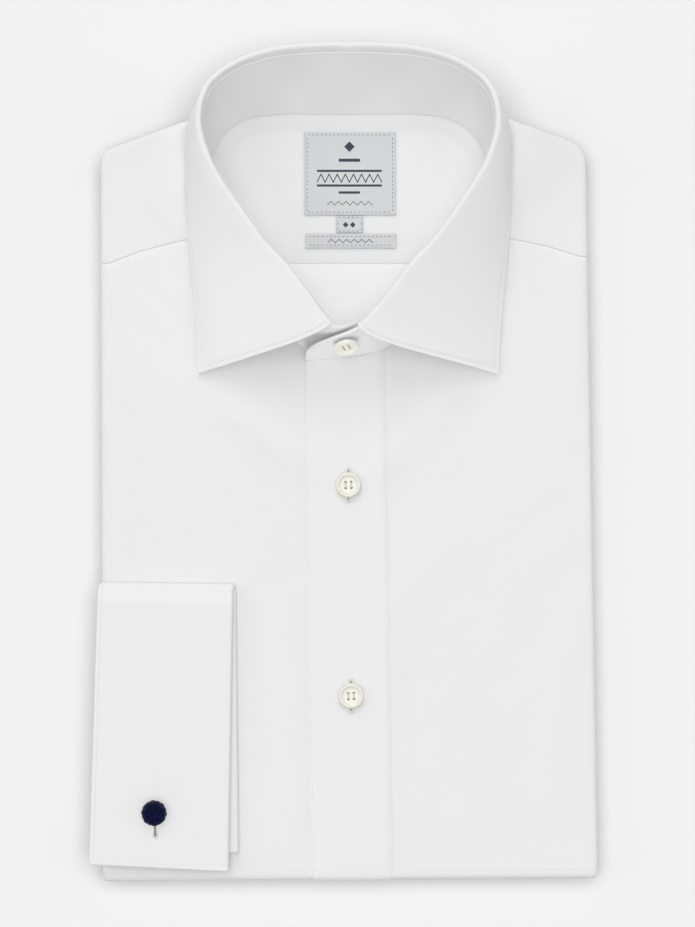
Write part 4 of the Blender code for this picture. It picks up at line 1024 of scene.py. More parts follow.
def box_mask(tree, across, down, box):
    """1 inside a box (low u, high u, low v, high v in millimetres), 0 outside."""
    low_u, high_u, low_v, high_v = box
    inside = None
    for value, low, high in ((across, low_u, high_u), (down, low_v, high_v)):
        for test, limit in (("GREATER_THAN", low), ("LESS_THAN", high)):
            edge = math_node(tree, test, value, limit * MM)
            inside = edge if inside is None else math_node(tree, "MULTIPLY", inside, edge)
    return inside


def zigzag_mask(tree, across, down, box, pitch, half_width):
    """1 within a half width of a zigzag that runs along a box: |v - low - slope * triangle(u)|."""
    low_u, high_u, low_v, high_v = box
    start = math_node(tree, "SUBTRACT", across, low_u * MM)
    phase = math_node(tree, "PINGPONG", start, 0.5 * pitch * MM)
    line = math_node(tree, "MULTIPLY_ADD", phase, (high_v - low_v) / (0.5 * pitch), low_v * MM)
    off = math_node(tree, "ABSOLUTE", math_node(tree, "SUBTRACT", down, line))
    near = math_node(tree, "LESS_THAN", off, half_width * MM)
    limits = (low_u, high_u, low_v - half_width, high_v + half_width)
    return math_node(tree, "MULTIPLY", near, box_mask(tree, across, down, limits))


def lozenge_mask(tree, across, down, middle_u, middle_v, radius):
    """1 inside a lozenge: |u - middle| + |v - middle| < radius."""
    off = [math_node(tree, "ABSOLUTE", math_node(tree, "SUBTRACT", value, middle * MM))
           for value, middle in ((across, middle_u), (down, middle_v))]
    return math_node(tree, "LESS_THAN", math_node(tree, "ADD", *off), radius * MM)


def label_finish(name, design):
    """A woven label: satin ribs across it, and plain bars, zigzags and lozenges in dark thread."""
    ground, ink = tuple(colours().label), tuple(colours().label_thread)
    material, tree, shader = new_material(name, ground, 0.55, sheen=0.15, specular=0.4)
    _, across, down = flat_coordinates(tree)
    rib = math_node(tree, "SINE", math_node(tree, "MULTIPLY", down, 2 * math.pi / LABEL_RIB))
    masks = {"box": box_mask, "zigzag": zigzag_mask, "lozenge": lozenge_mask}
    mask = None
    for kind, *values in design:
        one = masks[kind](tree, across, down, *values)
        mask = one if mask is None else math_node(tree, "MAXIMUM", mask, one)
    shade = tint(tree, ground, math_node(tree, "MULTIPLY_ADD", rib, 0.5, 0.5), 0.95, 1.03)
    mixed = add_node(tree, "ShaderNodeMix", {0: mask}, data_type="RGBA")
    tree.links.new(shade, mixed.inputs[6])
    mixed.inputs[7].default_value = (*ink, 1.0)
    tree.links.new(mixed.outputs[2], shader.inputs["Base Color"])
    height = math_node(tree, "ADD", math_node(tree, "MULTIPLY", rib, 0.5), mask)
    bumped(tree, shader, height, 0.35, 0.0001)
    return material


def button_finish():
    """Polished cream resin with faint cloudy streaks."""
    colour = tuple(colours().button)
    material, tree, shader = new_material("button_resin", colour, 0.28, specular=0.5)
    shader.inputs["Subsurface Weight"].default_value = 0.08
    shader.inputs["Subsurface Radius"].default_value = (0.002, 0.0015, 0.001)
    moved = add_node(tree, "ShaderNodeMapping", {
        "Vector": object_place(tree), "Rotation": (0.0, 0.0, 0.6), "Scale": (1.0, 4.0, 1.0)})
    cloud = noise(tree, moved.outputs[0], 260.0, 3.0, Distortion=0.6)
    tree.links.new(tint(tree, colour, cloud, 0.88, 1.08), shader.inputs["Base Color"])
    return material


def silk_finish():
    """Braided silk cord: two sets of fine slanted strands along each turn, as a bump and as painted
    shade and highlights, from 0.35 to 1.9 times the silk's colour.
    """
    colour = tuple(colours().silk)
    material, tree, shader = new_material("silk_cord", colour, 0.42, sheen=0.0, specular=0.07)
    _, round_it, along = flat_coordinates(tree)
    heights = []
    for sense in (1.0, -1.0):
        slant = math_node(tree, "ADD", math_node(tree, "MULTIPLY", along, BRAID_TURNS),
                          math_node(tree, "MULTIPLY", round_it, sense * BRAID_STARTS * math.pi))
        heights.append(math_node(tree, "SINE", slant))
    strands = math_node(tree, "MULTIPLY_ADD", math_node(tree, "MULTIPLY", *heights), 0.5, 0.5)
    # Painted shade and highlight: the silk is darker between the strands and lighter on them, where
    # their bump is high.
    tree.links.new(tint(tree, colour, strands, 0.35, 1.9), shader.inputs["Base Color"])
    bumped(tree, shader, strands, 0.6, 0.0002)
    return material


def plain_finish(name, colour, roughness, metallic):
    """A plain finish with a faint uneven tone."""
    material, tree, shader = new_material(name, colour, roughness)
    shader.inputs["Metallic"].default_value = metallic
    cloud = noise(tree, object_place(tree), 300.0)
    tree.links.new(tint(tree, colour, cloud, 0.93, 1.07), shader.inputs["Base Color"])
    return material


def finish_named(name):
    """One of the shirt's finishes, made the first time that it is asked for."""
    found = bpy.data.materials.get(name)
    if found:
        return found
    if name in PLAIN_FINISHES:
        return plain_finish(name, *PLAIN_FINISHES[name])
    if name in THREADS:
        source, tone = THREADS[name]
        return thread_finish(name, tuple(tone * c for c in getattr(colours(), source)))
    # A cotton's tone is painted light: each piece's copy of the one cotton is made lighter or
    # darker to stand in for the light that it gets.
    tone, *weave = COTTONS[name]
    return cotton(name, tuple(tone * c for c in colours().cloth), *weave)


# --- stitching ----------------------------------------------------------------------------------


def line_on(outer, normals, axis, inset, low=True):
    """Points and normals on a surface along one edge, at a fixed distance in from it."""
    travel = travel_along(outer, axis)
    total = travel[-1:] if axis == 0 else travel[:, -1:]
    target = np.full_like(total, inset) if low else total - inset
    share, goal = np.moveaxis(travel, axis, 1), np.moveaxis(target, axis, 1)
    rows = ROW_SPAN * np.arange(len(share))[:, None]
    known, asked = (share + rows).ravel(), (goal + rows).ravel()
    points = interpolated(asked, known, np.moveaxis(outer, axis, 1))
    return points, unit(interpolated(asked, known, np.moveaxis(normals, axis, 1)))


def both_edges(outer, normals, axis, inset):
    """The lines along the low and the high edge of a surface."""
    return [line_on(outer, normals, axis, inset, low) for low in (True, False)]


def stitch_arrays(points, normals, radius=None, length=None, gap=None):
    """Stitches along a line: spindles of radius r * sin(pi s)^0.5, each sunk a little."""
    radius = radius or sizes().thread_radius / MM
    length = length or sizes().stitch_length / MM
    gap = gap or sizes().stitch_gap / MM
    travel = path_travel(points)
    count = max(int(travel[-1] / (length + gap)), 1)
    starts = np.arange(count) * travel[-1] / count
    share = np.linspace(0, 1, STITCH_RINGS)
    places = starts[:, None] + length * share[None]
    rings = interpolated(places, travel, points)
    up = unit(interpolated(places, travel, normals))
    across = np.cross(unit(np.gradient(rings, axis=1)), up)
    bulge = np.sin(math.pi * share)
    width = radius * np.sqrt(np.clip(bulge, LEAST_ROUNDING, 1))[None, :, None, None]
    rise = (bulge * STITCH_RISE - STITCH_SINK)[None, :, None] * radius
    turn = np.linspace(0, 2 * math.pi, STITCH_SIDES + 1)[:-1][None, None, :, None]
    sideways = across[:, :, None] * np.cos(turn)
    upward = up[:, :, None] * np.sin(turn) * STITCH_FLATNESS
    tube = (rings + up * rise)[:, :, None] + width * (sideways + upward)
    index = np.arange(STITCH_RINGS * STITCH_SIDES).reshape(STITCH_RINGS, STITCH_SIDES)
    after = np.roll(index, -1, 1)
    wall = np.stack([index[:-1], after[:-1], after[1:], index[1:]], -1).reshape(-1, 4)
    caps = np.concatenate([
        np.stack([cap[[0, 1, 2, 3]], cap[[0, 3, 4, 5]]]) for cap in (index[0, ::-1], index[-1])])
    first = (np.arange(count) * index.size)[:, None, None]
    faces = np.concatenate([(part[None] + first).reshape(-1, 4) for part in (wall, caps)])
    flat = np.stack(np.broadcast_arrays(
        np.linspace(0, 1, STITCH_SIDES)[None, None, :], (places * MM)[:, :, None]), -1)
    return tube.reshape(-1, 3), faces, flat.reshape(-1, 2)


def sew(name, lines, material="sewing_thread", slot="cloth", **stitch):
    """One piece of stitching along several lines."""
    arrays = joined([stitch_arrays(points, normals, **stitch) for points, normals in lines])
    return make_piece(name, *arrays, finish_named(material), slot)


def clip_line(line, keep):
    """The part of a line where keep holds."""
    points, normals = line
    return points[keep], normals[keep]


# --- fronts, band and yoke ----------------------------------------------------------------------


def seam_knots(side):
    """X and y of the yoke seam at even steps from the neck out to the side's rounding."""
    edge, seam_y = (left_side, LEFT_SEAM_Y) if side < 0 else (right_side, RIGHT_SEAM_Y)
    start = edge(seam_y[-1]) - side * ROLL_OUT
    return np.linspace(side * NECK_POINT, start, len(seam_y)), np.array(seam_y)


def lengthwise(top_steps, tail_steps):
    """Down a front: the angle round the lower end, the share of the way down, and back."""
    turn = even_angles(BEND_OUT, HALF_STACK, BEND_STEPS + 1, BEND_POWER)[1:]
    bend = np.concatenate([np.zeros(top_steps), turn, np.full(tail_steps, math.pi)])
    down = np.concatenate([
        np.linspace(0, 1, top_steps), np.ones(BEND_STEPS), np.zeros(tail_steps)])
    back = np.concatenate([
        np.zeros(top_steps + BEND_STEPS), np.linspace(0, 1, tail_steps + 1)[1:]])
    return bend[:, None], down[:, None], back[:, None]


def under_share(bend):
    """0 on top of the stack and 1 on its underside, from the angle round the lower end."""
    return ease((bend - UNDER_START) / UNDER_RAMP)


def front_middle(side):
    """Middle surface of a front: flat on top, half superellipses at the side and the lower end,
    then flat on the underside as far as the shirt tail. Its upper edge dips under the yoke.
    """
    edge = left_side if side < 0 else right_side
    seam_x, seam_y = seam_knots(side)
    meet_x = FRONT_MEET_X + side * SEAM_GAP / 2
    neck_x = side * np.array(NECK_STEPS_X)
    neck_y = seat_line(np.append(np.abs(neck_x), 0.0)) + FRONT_NECK_LEDGE
    knots_x = np.concatenate([seam_x[::-1], neck_x, [meet_x]])
    knots_y = np.concatenate([seam_y[::-1], neck_y])
    shares = np.linspace(0, 1, FRONT_COLUMNS)
    flat_x = between(knots_x[0], meet_x, shares)
    line_y = np.interp(side * flat_x, (side * knots_x)[::-1], knots_y[::-1])
    under_yoke = ease((np.abs(flat_x) - NECK_POINT + YOKE_LAP_RAMP) / YOKE_LAP_RAMP)
    rounded = even_angles(ROLL_OUT, ROLL_HALF_HEIGHT, ROLL_STEPS)[::-1]
    roll = np.concatenate([[math.pi], rounded, np.zeros(FRONT_COLUMNS - 1)])
    share = np.concatenate([np.zeros(ROLL_STEPS), shares])
    line_y = np.concatenate([np.full(ROLL_STEPS, line_y[0]), line_y])
    under_yoke = np.concatenate([np.ones(ROLL_STEPS), under_yoke])
    tuck = np.where(np.arange(len(share)) == 0, TUCK_IN, 0.0)
    top = line_y + SEAM_TUCK * under_yoke
    bend, down, back = lengthwise(FRONT_TOP_STEPS, FRONT_TAIL_STEPS)
    reach, drop = side_roll(roll, WALL / 2)
    plain_x = between(edge(SIDE_BOTTOM_Y) - side * ROLL_OUT, meet_x, share)
    bend_y, tail_y = bend_line(plain_x), tail_line(plain_x)
    y = np.where(back > 0, between(bend_y, tail_y, back), between(top, bend_y, down))
    x = between(edge(y) - side * ROLL_OUT, meet_x, share) + side * (reach - tuck)
    dip = under_yoke * (SEAM_DIP + WALL / 2) * (back == 0)
    dip = dip * ease((y - line_y + SEAM_DIP_START) / DIP_RAMP)
    forward, z = bottom_bend(drop + dip, bend)
    band_left = BAND_LEFT_BOTTOM - UNDER_BAND_MARGIN
    band_right = BAND_RIGHT_BOTTOM + UNDER_BAND_MARGIN
    room = 1 - ease(np.maximum(band_left - x, x - band_right) / UNDER_BAND_RAMP)
    z = z + under_share(bend) * UNDER_BAND_DEPTH * room * (z < HALF_STACK)
    fall = (BAND_TOP_Y - y) / (BAND_TOP_Y - HEM_LEFT_Y)
    beside = (x - between(BAND_LEFT_TOP, BAND_LEFT_BOTTOM, fall)) / BAND_GROOVE_WIDTH
    z = z - BAND_GROOVE * np.exp(-beside ** 2) * (z > HALF_STACK)
    return settle(np.stack([x, y - forward, z], -1))


def build_fronts():
    """Both fronts, each with a row of stitching along the hem of its tail."""
    material = finish_named("cotton_body")
    for name, side in (("front_right", -1), ("front_left", 1)):
        middle = front_middle(side)
        piece, _, _, normal = cloth_piece(
            name + "_cloth", middle, WALL, ("high0",), material, (name,), flip=side < 0)
        points, _ = line_on(middle, normal, 0, HEM_STITCH_IN, low=False)
        points = points[HEM_FIRST_STITCH:] - [0.0, 0.0, WALL / 2]
        downward = np.broadcast_to([0.0, 0.0, -1.0], points.shape)
        hem = sew(name + "_hem_stitching", [(points, downward)])
        declare_cloth(middle)


def band_middle():
    """Middle surface of the band: flat on both fronts, round the lower end and to the tail."""
    share = np.linspace(0, 1, BAND_COLUMNS)
    top_x = between(BAND_LEFT_TOP, BAND_RIGHT_TOP, share)
    low_x = between(BAND_LEFT_BOTTOM, BAND_RIGHT_BOTTOM, share)
    bend_y, seat_y = bend_line(low_x), seat_line(top_x)
    top_y = seat_y - between(BAND_TOP_GAP_LEFT, BAND_TOP_GAP_RIGHT, share) + BAND_TUCK
    bend, down, back = lengthwise(BAND_TOP_STEPS, BAND_TAIL_STEPS)
    y = np.where(back > 0, between(bend_y, tail_line(low_x), back), between(top_y, bend_y, down))
    fall = np.clip((y - top_y[0]) / (bend_y[0] - top_y[0]), 0, 1)
    fall = np.where(back > 0, 1.0, fall)
    left = between(BAND_LEFT_TOP, BAND_LEFT_BOTTOM, fall)
    right = between(BAND_RIGHT_TOP, BAND_RIGHT_BOTTOM, fall)
    x = between(left, right, share)
    sunk = BAND_RIGHT_SINK * ease((share - 1 + BAND_RIGHT_SLOPE) / BAND_RIGHT_SLOPE)
    cushion = BAND_CUSHION * np.sin(math.pi * share) ** 0.7
    tuck = BAND_TUCK_DROP * ease((y - seat_y + BAND_TUCK_START) / DIP_RAMP) * (back == 0)
    forward, z = bottom_bend(tuck + sunk - cushion - BAND_LIFT, bend)
    z = z + under_share(bend) * (BAND_LIFT + BAND_WALL / 2)
    return settle(np.stack([x, y - forward, z], -1))


def build_band():
    """The front band with its two rows of stitching."""
    middle = respace(band_middle(), 1, 56, True, True)
    piece, _, _, normal = cloth_piece(
        "front_band", middle, BAND_WALL, ("low1", "high1", "high0"), finish_named("cotton_pressed"),
        ("placket",), BAND_STITCH_IN, flip=True)
    outer, _ = walled(middle, BAND_WALL, ("low1", "high1"), BAND_STITCH_IN, flip=True)
    stitches = sew("band_stitching", both_edges(outer, normal, 1, BAND_STITCH_IN))
    declare_cloth(middle)


def bearings(points):
    """Angles of points about the middle of the neck, from straight down through the left."""
    away = points - NECK_MIDDLE
    return np.arctan2(-away[:, 0], -away[:, 1]) % (2 * math.pi)


def neck_line(rows, steps):
    """Points along the foot of the collar, through rows of its table and their mirror image."""
    half = np.array([(row[3], row[4]) for row in rows])
    full = np.concatenate([(half * [-1, 1])[::-1], half[1:]])
    travel = path_travel(full)
    return smooth(travel, full, np.linspace(0, travel[-1], steps))


def neck_ring(edge, grow):
    """Points round the foot of the collar, one facing each point of the yoke's outer edge."""
    dense = neck_line(COLLAR_ROWS[:8], NECK_RING_STEPS)
    dense = dense[(np.abs(dense[:, 0]) > NECK_POINT) | (dense[:, 1] > NECK_BACK_Y)]
    tangent = unit(np.gradient(dense, axis=0))
    dense = dense + np.stack([-tangent[:, 1], tangent[:, 0]], -1) * grow
    own, asked = bearings(dense), bearings(edge)
    asked = own[0] + (asked - asked[0]) * (own[-1] - own[0]) / (asked[-1] - asked[0])
    return interpolated(asked, own, dense)


def corner_points(start, end, side):
    """Points round one rounded corner of the shoulders, a quarter ellipse between its two ends."""
    turns = np.radians(np.linspace(0, 90, 12))[1:-1, None]
    span = np.subtract(end, start)
    if side < 0:
        x, y = end[0] - span[0] * np.cos(turns), start[1] + span[1] * np.sin(turns)
    else:
        x, y = start[0] + span[0] * np.sin(turns), end[1] - span[1] * np.cos(turns)
    return np.concatenate([x, y], 1)


def yoke_outline():
    """Points and outward directions round the yoke's outer edge, set in by the roll."""
    corner_y = SIDE_TOP_Y - CORNER_ROUND - ROLL_OUT
    left_y = np.linspace(LEFT_SEAM_Y[-1], corner_y, 30)
    right_y = np.linspace(corner_y, RIGHT_SEAM_Y[-1], 30)
    left = np.stack([left_side(left_y) + ROLL_OUT, left_y], -1)
    right = np.stack([right_side(right_y) - ROLL_OUT, right_y], -1)
    top_x = np.linspace(left[-1, 0] + CORNER_ROUND, right[0, 0] - CORNER_ROUND, 120)
    top = np.stack([top_x, shoulder_line(top_x) - ROLL_OUT], -1)
    path = np.concatenate([
        left, corner_points(left[-1], top[0], -1), top, corner_points(top[-1], right[0], 1), right])
    travel = path_travel(path)
    tangent = unit(np.gradient(path, travel, axis=0))
    outward = np.stack([-tangent[:, 1], tangent[:, 0]], -1)
    places = np.linspace(0, travel[-1], YOKE_COLUMNS)
    return interpolated(places, travel, path), unit(interpolated(places, travel, outward))


def yoke_middle():
    """Middle surface of the yoke: straight rays from the neck to its edge, then a half superellipse
    down, and a flat tuck inwards.
    """
    edge, outward = yoke_outline()
    neck = neck_ring(edge, -YOKE_NECK_LEDGE)
    shares = np.linspace(0, 1, YOKE_ROWS)
    flat = between(neck[:, None, :], edge[:, None, :], shares[None, :, None])
    angles = even_angles(ROLL_OUT, ROLL_HALF_HEIGHT, ROLL_STEPS + 1)[1:]
    reach, drop = side_roll(angles, WALL / 2)
    inward = np.linspace(0, YOKE_TUCK_IN, YOKE_TUCK_ROWS + 1)[1:]
    rolled = edge[:, None, :] + outward[:, None, :] * reach[None, :, None]
    tucked = edge[:, None, :] - outward[:, None, :] * inward[None, :, None]
    plan = np.concatenate([flat, rolled, tucked], 1)
    drops = np.concatenate([
        np.full(YOKE_ROWS, WALL / 2), drop, np.full(YOKE_TUCK_ROWS, drop[-1])])
    z = np.broadcast_to(STACK_HEIGHT - drops, plan.shape[:2])
    for row, side in ((0, -1), (-1, 1)):
        seam_x, seam_y = seam_knots(side)
        plan[row, :YOKE_ROWS, 0] = np.linspace(seam_x[0], seam_x[-1], YOKE_ROWS)
        plan[row, :, 1] = np.interp(np.abs(plan[row, :, 0]), np.abs(seam_x), seam_y)
    return settle(np.concatenate([plan, z[..., None]], -1))


def build_yoke():
    """The outer yoke and the stitching along its two front seams."""
    free = ("low0", "high0")
    middle = respace(yoke_middle(), 0, 200, True, True)
    sink = YOKE_SEAM_SINK * np.exp(-(edge_distance(middle, free) / YOKE_SEAM_WIDTH) ** 2)
    middle[..., 2] -= sink * (middle[..., 2] > HALF_STACK + ROLL_HALF_HEIGHT)
    piece, outer, _, normal = cloth_piece(
        "yoke_cloth", middle, WALL, free, finish_named("cotton_body"), ("yoke_outer",),
        SEAM_STITCH_IN, flip=True)
    lines = both_edges(outer, normal, 0, SEAM_STITCH_IN)
    stitches = sew("yoke_stitching", [clip_line(line, slice(2, 50)) for line in lines])
    declare_cloth(middle)


def fold_middle(side_in, top_in, z, wave):
    """One hidden fold: a flat sheet, its outline set in, with an uneven edge at the shoulders."""
    share, up = np.linspace(0, 1, 80)[None], np.linspace(0, 1, 90)[:, None]
    x = between(LEFT_SIDE_BOTTOM + side_in, RIGHT_SIDE_BOTTOM - side_in, share) + 0 * up
    top = shoulder_line(np.clip(x, *FOLD_SHOULDER_X)) - top_in
    top = top + wave * np.sin(x / FOLD_WAVE + 7.0 * wave)
    y = between(bend_line(x) + FOLD_LOW_IN, top, up)
    return settle(np.stack([x, y, np.broadcast_to(z, x.shape)], -1))


def build_folds():
    """The hidden folds inside the stack, whose edges show at the shoulder end."""
    material = finish_named("cotton_body")
    parts, middles = [], []
    for side_in, top_in, z, wave in HIDDEN_FOLDS:
        middle = respace(fold_middle(side_in, top_in, z, wave), 0, 84, False, True)
        middles.append(middle)
        parts.append(wall_arrays(*walled(middle, HIDDEN_FOLD_WALL, ("low1", "high1", "high0"))))
    piece = make_piece("shirt_folds", *joined(parts), material, "cloth", ("body_fold",),
                       CLOTH_SHARP_ANGLE)


# --- inside of the neck -------------------------------------------------------------------------


def neck_depth(x, y):
    """Distance in from the seam at the foot of the collar, negative outside it."""
    ring = neck_line(COLLAR_ROWS, NECK_DEPTH_STEPS)
    away = np.sqrt((x[..., None] - ring[:, 0]) ** 2 + (y[..., None] - ring[:, 1]) ** 2).min(-1)
    centre = np.array([[NECK_MIDDLE[0], 100.0]])
    asked = np.stack([x.ravel(), y.ravel()], -1) - centre
    own = ring - centre
    reach = np.interp(np.arctan2(asked[:, 0], asked[:, 1]), np.arctan2(own[:, 0], own[:, 1]),
                      np.linalg.norm(own, axis=1))
    inside = np.linalg.norm(asked, axis=1).reshape(x.shape) < reach.reshape(x.shape)
    return np.where(inside, away, -away)


def level_middle(x, y, top_z, wall):
    """A sheet lying level in the stack."""
    return settle(np.stack([x, y, np.full(x.shape, top_z - wall / 2)], -1))


def risen_to_neck(middle):
    """The same sheet, rising inside the neck to meet the foot of the collar."""
    depth = neck_depth(middle[..., 0], middle[..., 1])
    inner = ease((NECK_RAMP - depth) / (NECK_RAMP - NECK_RISE_FULL))
    outer = ease((depth + NECK_RISE_OUTSIDE) / NECK_RISE_OUTSIDE_RAMP)
    middle[..., 2] += NECK_RISE * inner * outer
    return middle


def inner_yoke_middle():
    """The inner yoke, from its seam up to behind the neck."""
    across, up = np.linspace(INNER_LEFT, INNER_RIGHT, 110)[None], np.linspace(0, 1, 70)[:, None]
    back_y = np.minimum(INNER_BACK_Y, shoulder_line(across) - INNER_BACK_INSET)
    y = between(INNER_SEAM_Y - INNER_YOKE_EDGE, back_y, up)
    x = np.broadcast_to(across, y.shape)
    return risen_to_neck(level_middle(x, y, INNER_TOP_Z + INNER_YOKE_LIFT, WALL))


def inner_back_middle():
    """The back inside the neck: it lies under the inner yoke's seam and rises a little below it."""
    across, up = np.linspace(INNER_LEFT, INNER_RIGHT, 90)[None], np.linspace(0, 1, 50)[:, None]
    y = between(INNER_FRONT_Y, INNER_SEAM_Y + INNER_LAP, up) + 0 * across
    lapped = ease((y - INNER_SEAM_Y + INNER_LAP_START) / INNER_LAP_RAMP)
    rise = ease((INNER_SEAM_Y - INNER_BACK_RISE_END - y) / INNER_BACK_RISE_RAMP)
    rise = rise * ease((y - INNER_FRONT_RISE_Y) / INNER_FRONT_RISE_RAMP)
    top = INNER_TOP_Z - (WALL + INNER_LAP_GAP) * lapped + INNER_BACK_RISE * rise
    return risen_to_neck(settle(np.stack([across + 0 * y, y, top - WALL / 2], -1)))


def build_inside():
    """The inner yoke, the back below it, and the seam between them."""
    middle = respace(inner_yoke_middle(), 0, 90, True, False)
    edge = edge_distance(middle, ("low0",)) / INNER_SEAM_WIDTH
    middle[..., 2] -= INNER_SEAM_SINK * np.exp(-edge ** 2)
    piece, outer, _, normal = cloth_piece(
        "inner_yoke", middle, WALL, ("low0",), finish_named("cotton_inner"), ("yoke_inside",),
        SEAM_STITCH_IN, flip=True)
    stitches = sew("inner_yoke_stitching", [line_on(outer, normal, 0, SEAM_STITCH_IN)])
    declare_cloth(middle)
    middle = inner_back_middle()
    # The back inside the neck gets a lighter copy of the cotton: painted light that stands in for
    # the light the collar keeps off it.
    piece, *_ = cloth_piece("inner_back", middle, WALL, (), finish_named("cotton_back"),
                            ("back_inside",), flip=True)
    declare_cloth(middle)


def label_middle(x_low, x_high, y_low, y_high):
    """A label lying on the inner yoke, with a slight curl at its corners."""
    x, y = np.meshgrid(np.linspace(x_low, x_high, 60), np.linspace(y_low, y_high, 50))
    middle = level_middle(x, y, INNER_TOP_Z + SEAM_GAP + LABEL_WALL, LABEL_WALL)
    u = np.abs(2 * (x - x_low) / (x_high - x_low) - 1)
    v = np.abs(2 * (y - y_low) / (y_high - y_low) - 1)
    middle[..., 2] += LABEL_CURL * (u * v) ** LABEL_CURL_POWER
    return middle


def build_labels():
    """The three woven labels, each held by a line of dark stitches round its edge."""
    every = ("low0", "high0", "low1", "high1")
    for name, *sides in LABELS:
        middle = respace(respace(label_middle(*sides), 1, 52, True, True), 0, 44, True, True)
        material = label_finish(name + "_weave", LABEL_DESIGNS[name])
        piece, outer, _, normal = cloth_piece(
            name + "_cloth", middle, LABEL_WALL, every, material, (name,), flip=True, slot="label")
        inset = SIZE_LABEL_STITCH_IN if name == "label_size" else LABEL_STITCH_IN
        lines = []
        for axis in (0,) if name == "label_strip" else (0, 1):
            for line in both_edges(outer, normal, axis, inset):
                along = line[0][:, axis]
                keep = (along > along.min() + inset) & (along < along.max() - inset)
                lines.append(clip_line(line, keep))
        stitches = sew(name + "_stitching", lines, "label_sewing_thread", "label", **LABEL_STITCH)
        declare_cloth(middle, LABEL_TURNED_IN)


# --- collar -------------------------------------------------------------------------------------


def collar_table():
    """Travel and rows of the whole ring, from the inner tab round the back to the outer tab."""
    leaf_end = COLLAR_ROWS[-1][5:]
    sides = []
    for tab_rows in (INNER_TAB_ROWS, OUTER_TAB_ROWS):
        rows = np.array(COLLAR_ROWS + tuple((*row, *leaf_end) for row in tab_rows))
        sides.append((path_travel(rows[:, :3]), rows))
    (inner_travel, inner_rows), (outer_travel, outer_rows) = sides
    mirrored = inner_rows * [-1, 1, 1, -1, 1, -1, 1, 1]
    travel = np.concatenate([-inner_travel[:0:-1], outer_travel])
    return travel, np.concatenate([mirrored[:0:-1], outer_rows])


def collar_stations(places):
    """Top, seat and leaf edge of the collar at places along its top."""
    rows = smooth(*collar_table(), places)
    seat = np.stack([rows[:, 3], rows[:, 4], np.full(len(rows), SEAT_Z)], -1)
    return rows[:, 0:3], seat, rows[:, 5:8]


def stand_surface(places, levels):
    """Middle surface of the stand: seat + (top - seat) * level."""
    top, seat, _ = collar_stations(places)
    levels = np.asarray(levels, float)[None, :, None]
    return seat[:, None] + (top - seat)[:, None] * levels


def waved_stand(places, levels):
    """The stand with its foot set a little lower and soft standing waves between foot and top."""
    middle = stand_surface(places, levels)
    top, seat, _ = collar_stations(places)
    middle[..., 2] -= STAND_FOOT_DROP * (1 - levels)[None]
    bow = sum(height * np.exp(-((places - place) / width) ** 2)
              for place, height, width in STAND_WAVES)
    inward = unit(np.cross(np.gradient(top, axis=0), top - seat))
    lift = (bow[:, None] * np.sin(math.pi * levels)[None] ** 1.5)[..., None]
    return middle + inward[:, None] * lift


def build_stand():
    """The collar stand, with its line of stitching just below the leaf, inside and on the tab."""
    travel, _ = collar_table()
    places = np.linspace(travel[0], travel[-1], 260)
    middle = settle(waved_stand(places, np.linspace(0, 1, 24)))
    middle = respace(respace(middle, 1, 44, False, True), 0, 290, True, True)
    piece, outer, inner, normal = cloth_piece(
        "collar_stand_cloth", middle, STAND_WALL, ("low0", "high0", "high1"),
        finish_named("cotton_pressed"), ("collar_stand",), STAND_STITCH_IN)
    within = clip_line(line_on(inner, -normal, 1, STAND_STITCH_IN, False), slice(8, -8))
    on_tab = clip_line(line_on(outer, normal, 1, STAND_STITCH_IN, False), slice(-52, -3))
    stitches = [sew("stand_inner_stitching", [within]), sew("stand_tab_stitching", [on_tab])]
    declare_cloth(middle)


def leaf_surface(stations, roll_steps, fall_steps):
    """Middle surface of the leaf: up from the stand, a half circle over, a Bezier curve down."""
    travel, _ = collar_table()
    last = travel[-1 - len(OUTER_TAB_ROWS)]
    places = np.linspace(LEAF_RIGHT_SET_BACK - last, last, stations)
    top, seat, _ = collar_stations(places)
    stretch = np.where(places < 0, last / (last - LEAF_RIGHT_SET_BACK), 1.0)
    _, _, edge = collar_stations(places * stretch)
    rise = unit(top - seat)
    out = unit(np.cross(unit(np.gradient(top, axis=0)), rise))
    outside = ((top[:, :2] - NECK_MIDDLE) * out[:, :2]).sum(1, keepdims=True) > 0
    out = np.where(outside, out, -out)
    centre = top + rise * LEAF_ROLL_RISE + out * LEAF_ROLL_RADIUS
    last_turn = math.radians(LEAF_ROLL_TURN)
    turn = np.linspace(0, last_turn, roll_steps + 1)[None, :, None]
    roll = centre[:, None] + LEAF_ROLL_RADIUS * (
        rise[:, None] * np.sin(turn) - out[:, None] * np.cos(turn))
    start = roll[:, -1]
    span = edge - start
    length = np.linalg.norm(span, axis=1, keepdims=True)
    lean = np.clip((rise * unit(out * [1, 1, 0])).sum(1, keepdims=True), 0, 1)
    leaving = rise * math.cos(last_turn) + out * math.sin(last_turn)
    first = start + unit(leaving - [0, 0, LEAF_DROP] * lean) * LEAF_FIRST_PULL * length
    sag = LEAF_SAG * np.clip(length / LEAF_SAG_LENGTH - LEAF_SAG_FROM, 0, 1)
    second = edge - span * LEAF_SECOND_PULL - [0, 0, 1] * sag
    t = np.linspace(0, 1, fall_steps + 1)[None, 1:, None]
    fall = (start[:, None] * (1 - t) ** 3 + 3 * first[:, None] * t * (1 - t) ** 2
            + 3 * second[:, None] * t * t * (1 - t) + edge[:, None] * t ** 3)
    return np.concatenate([(top + rise * SEAM_GAP)[:, None], roll, fall], 1)


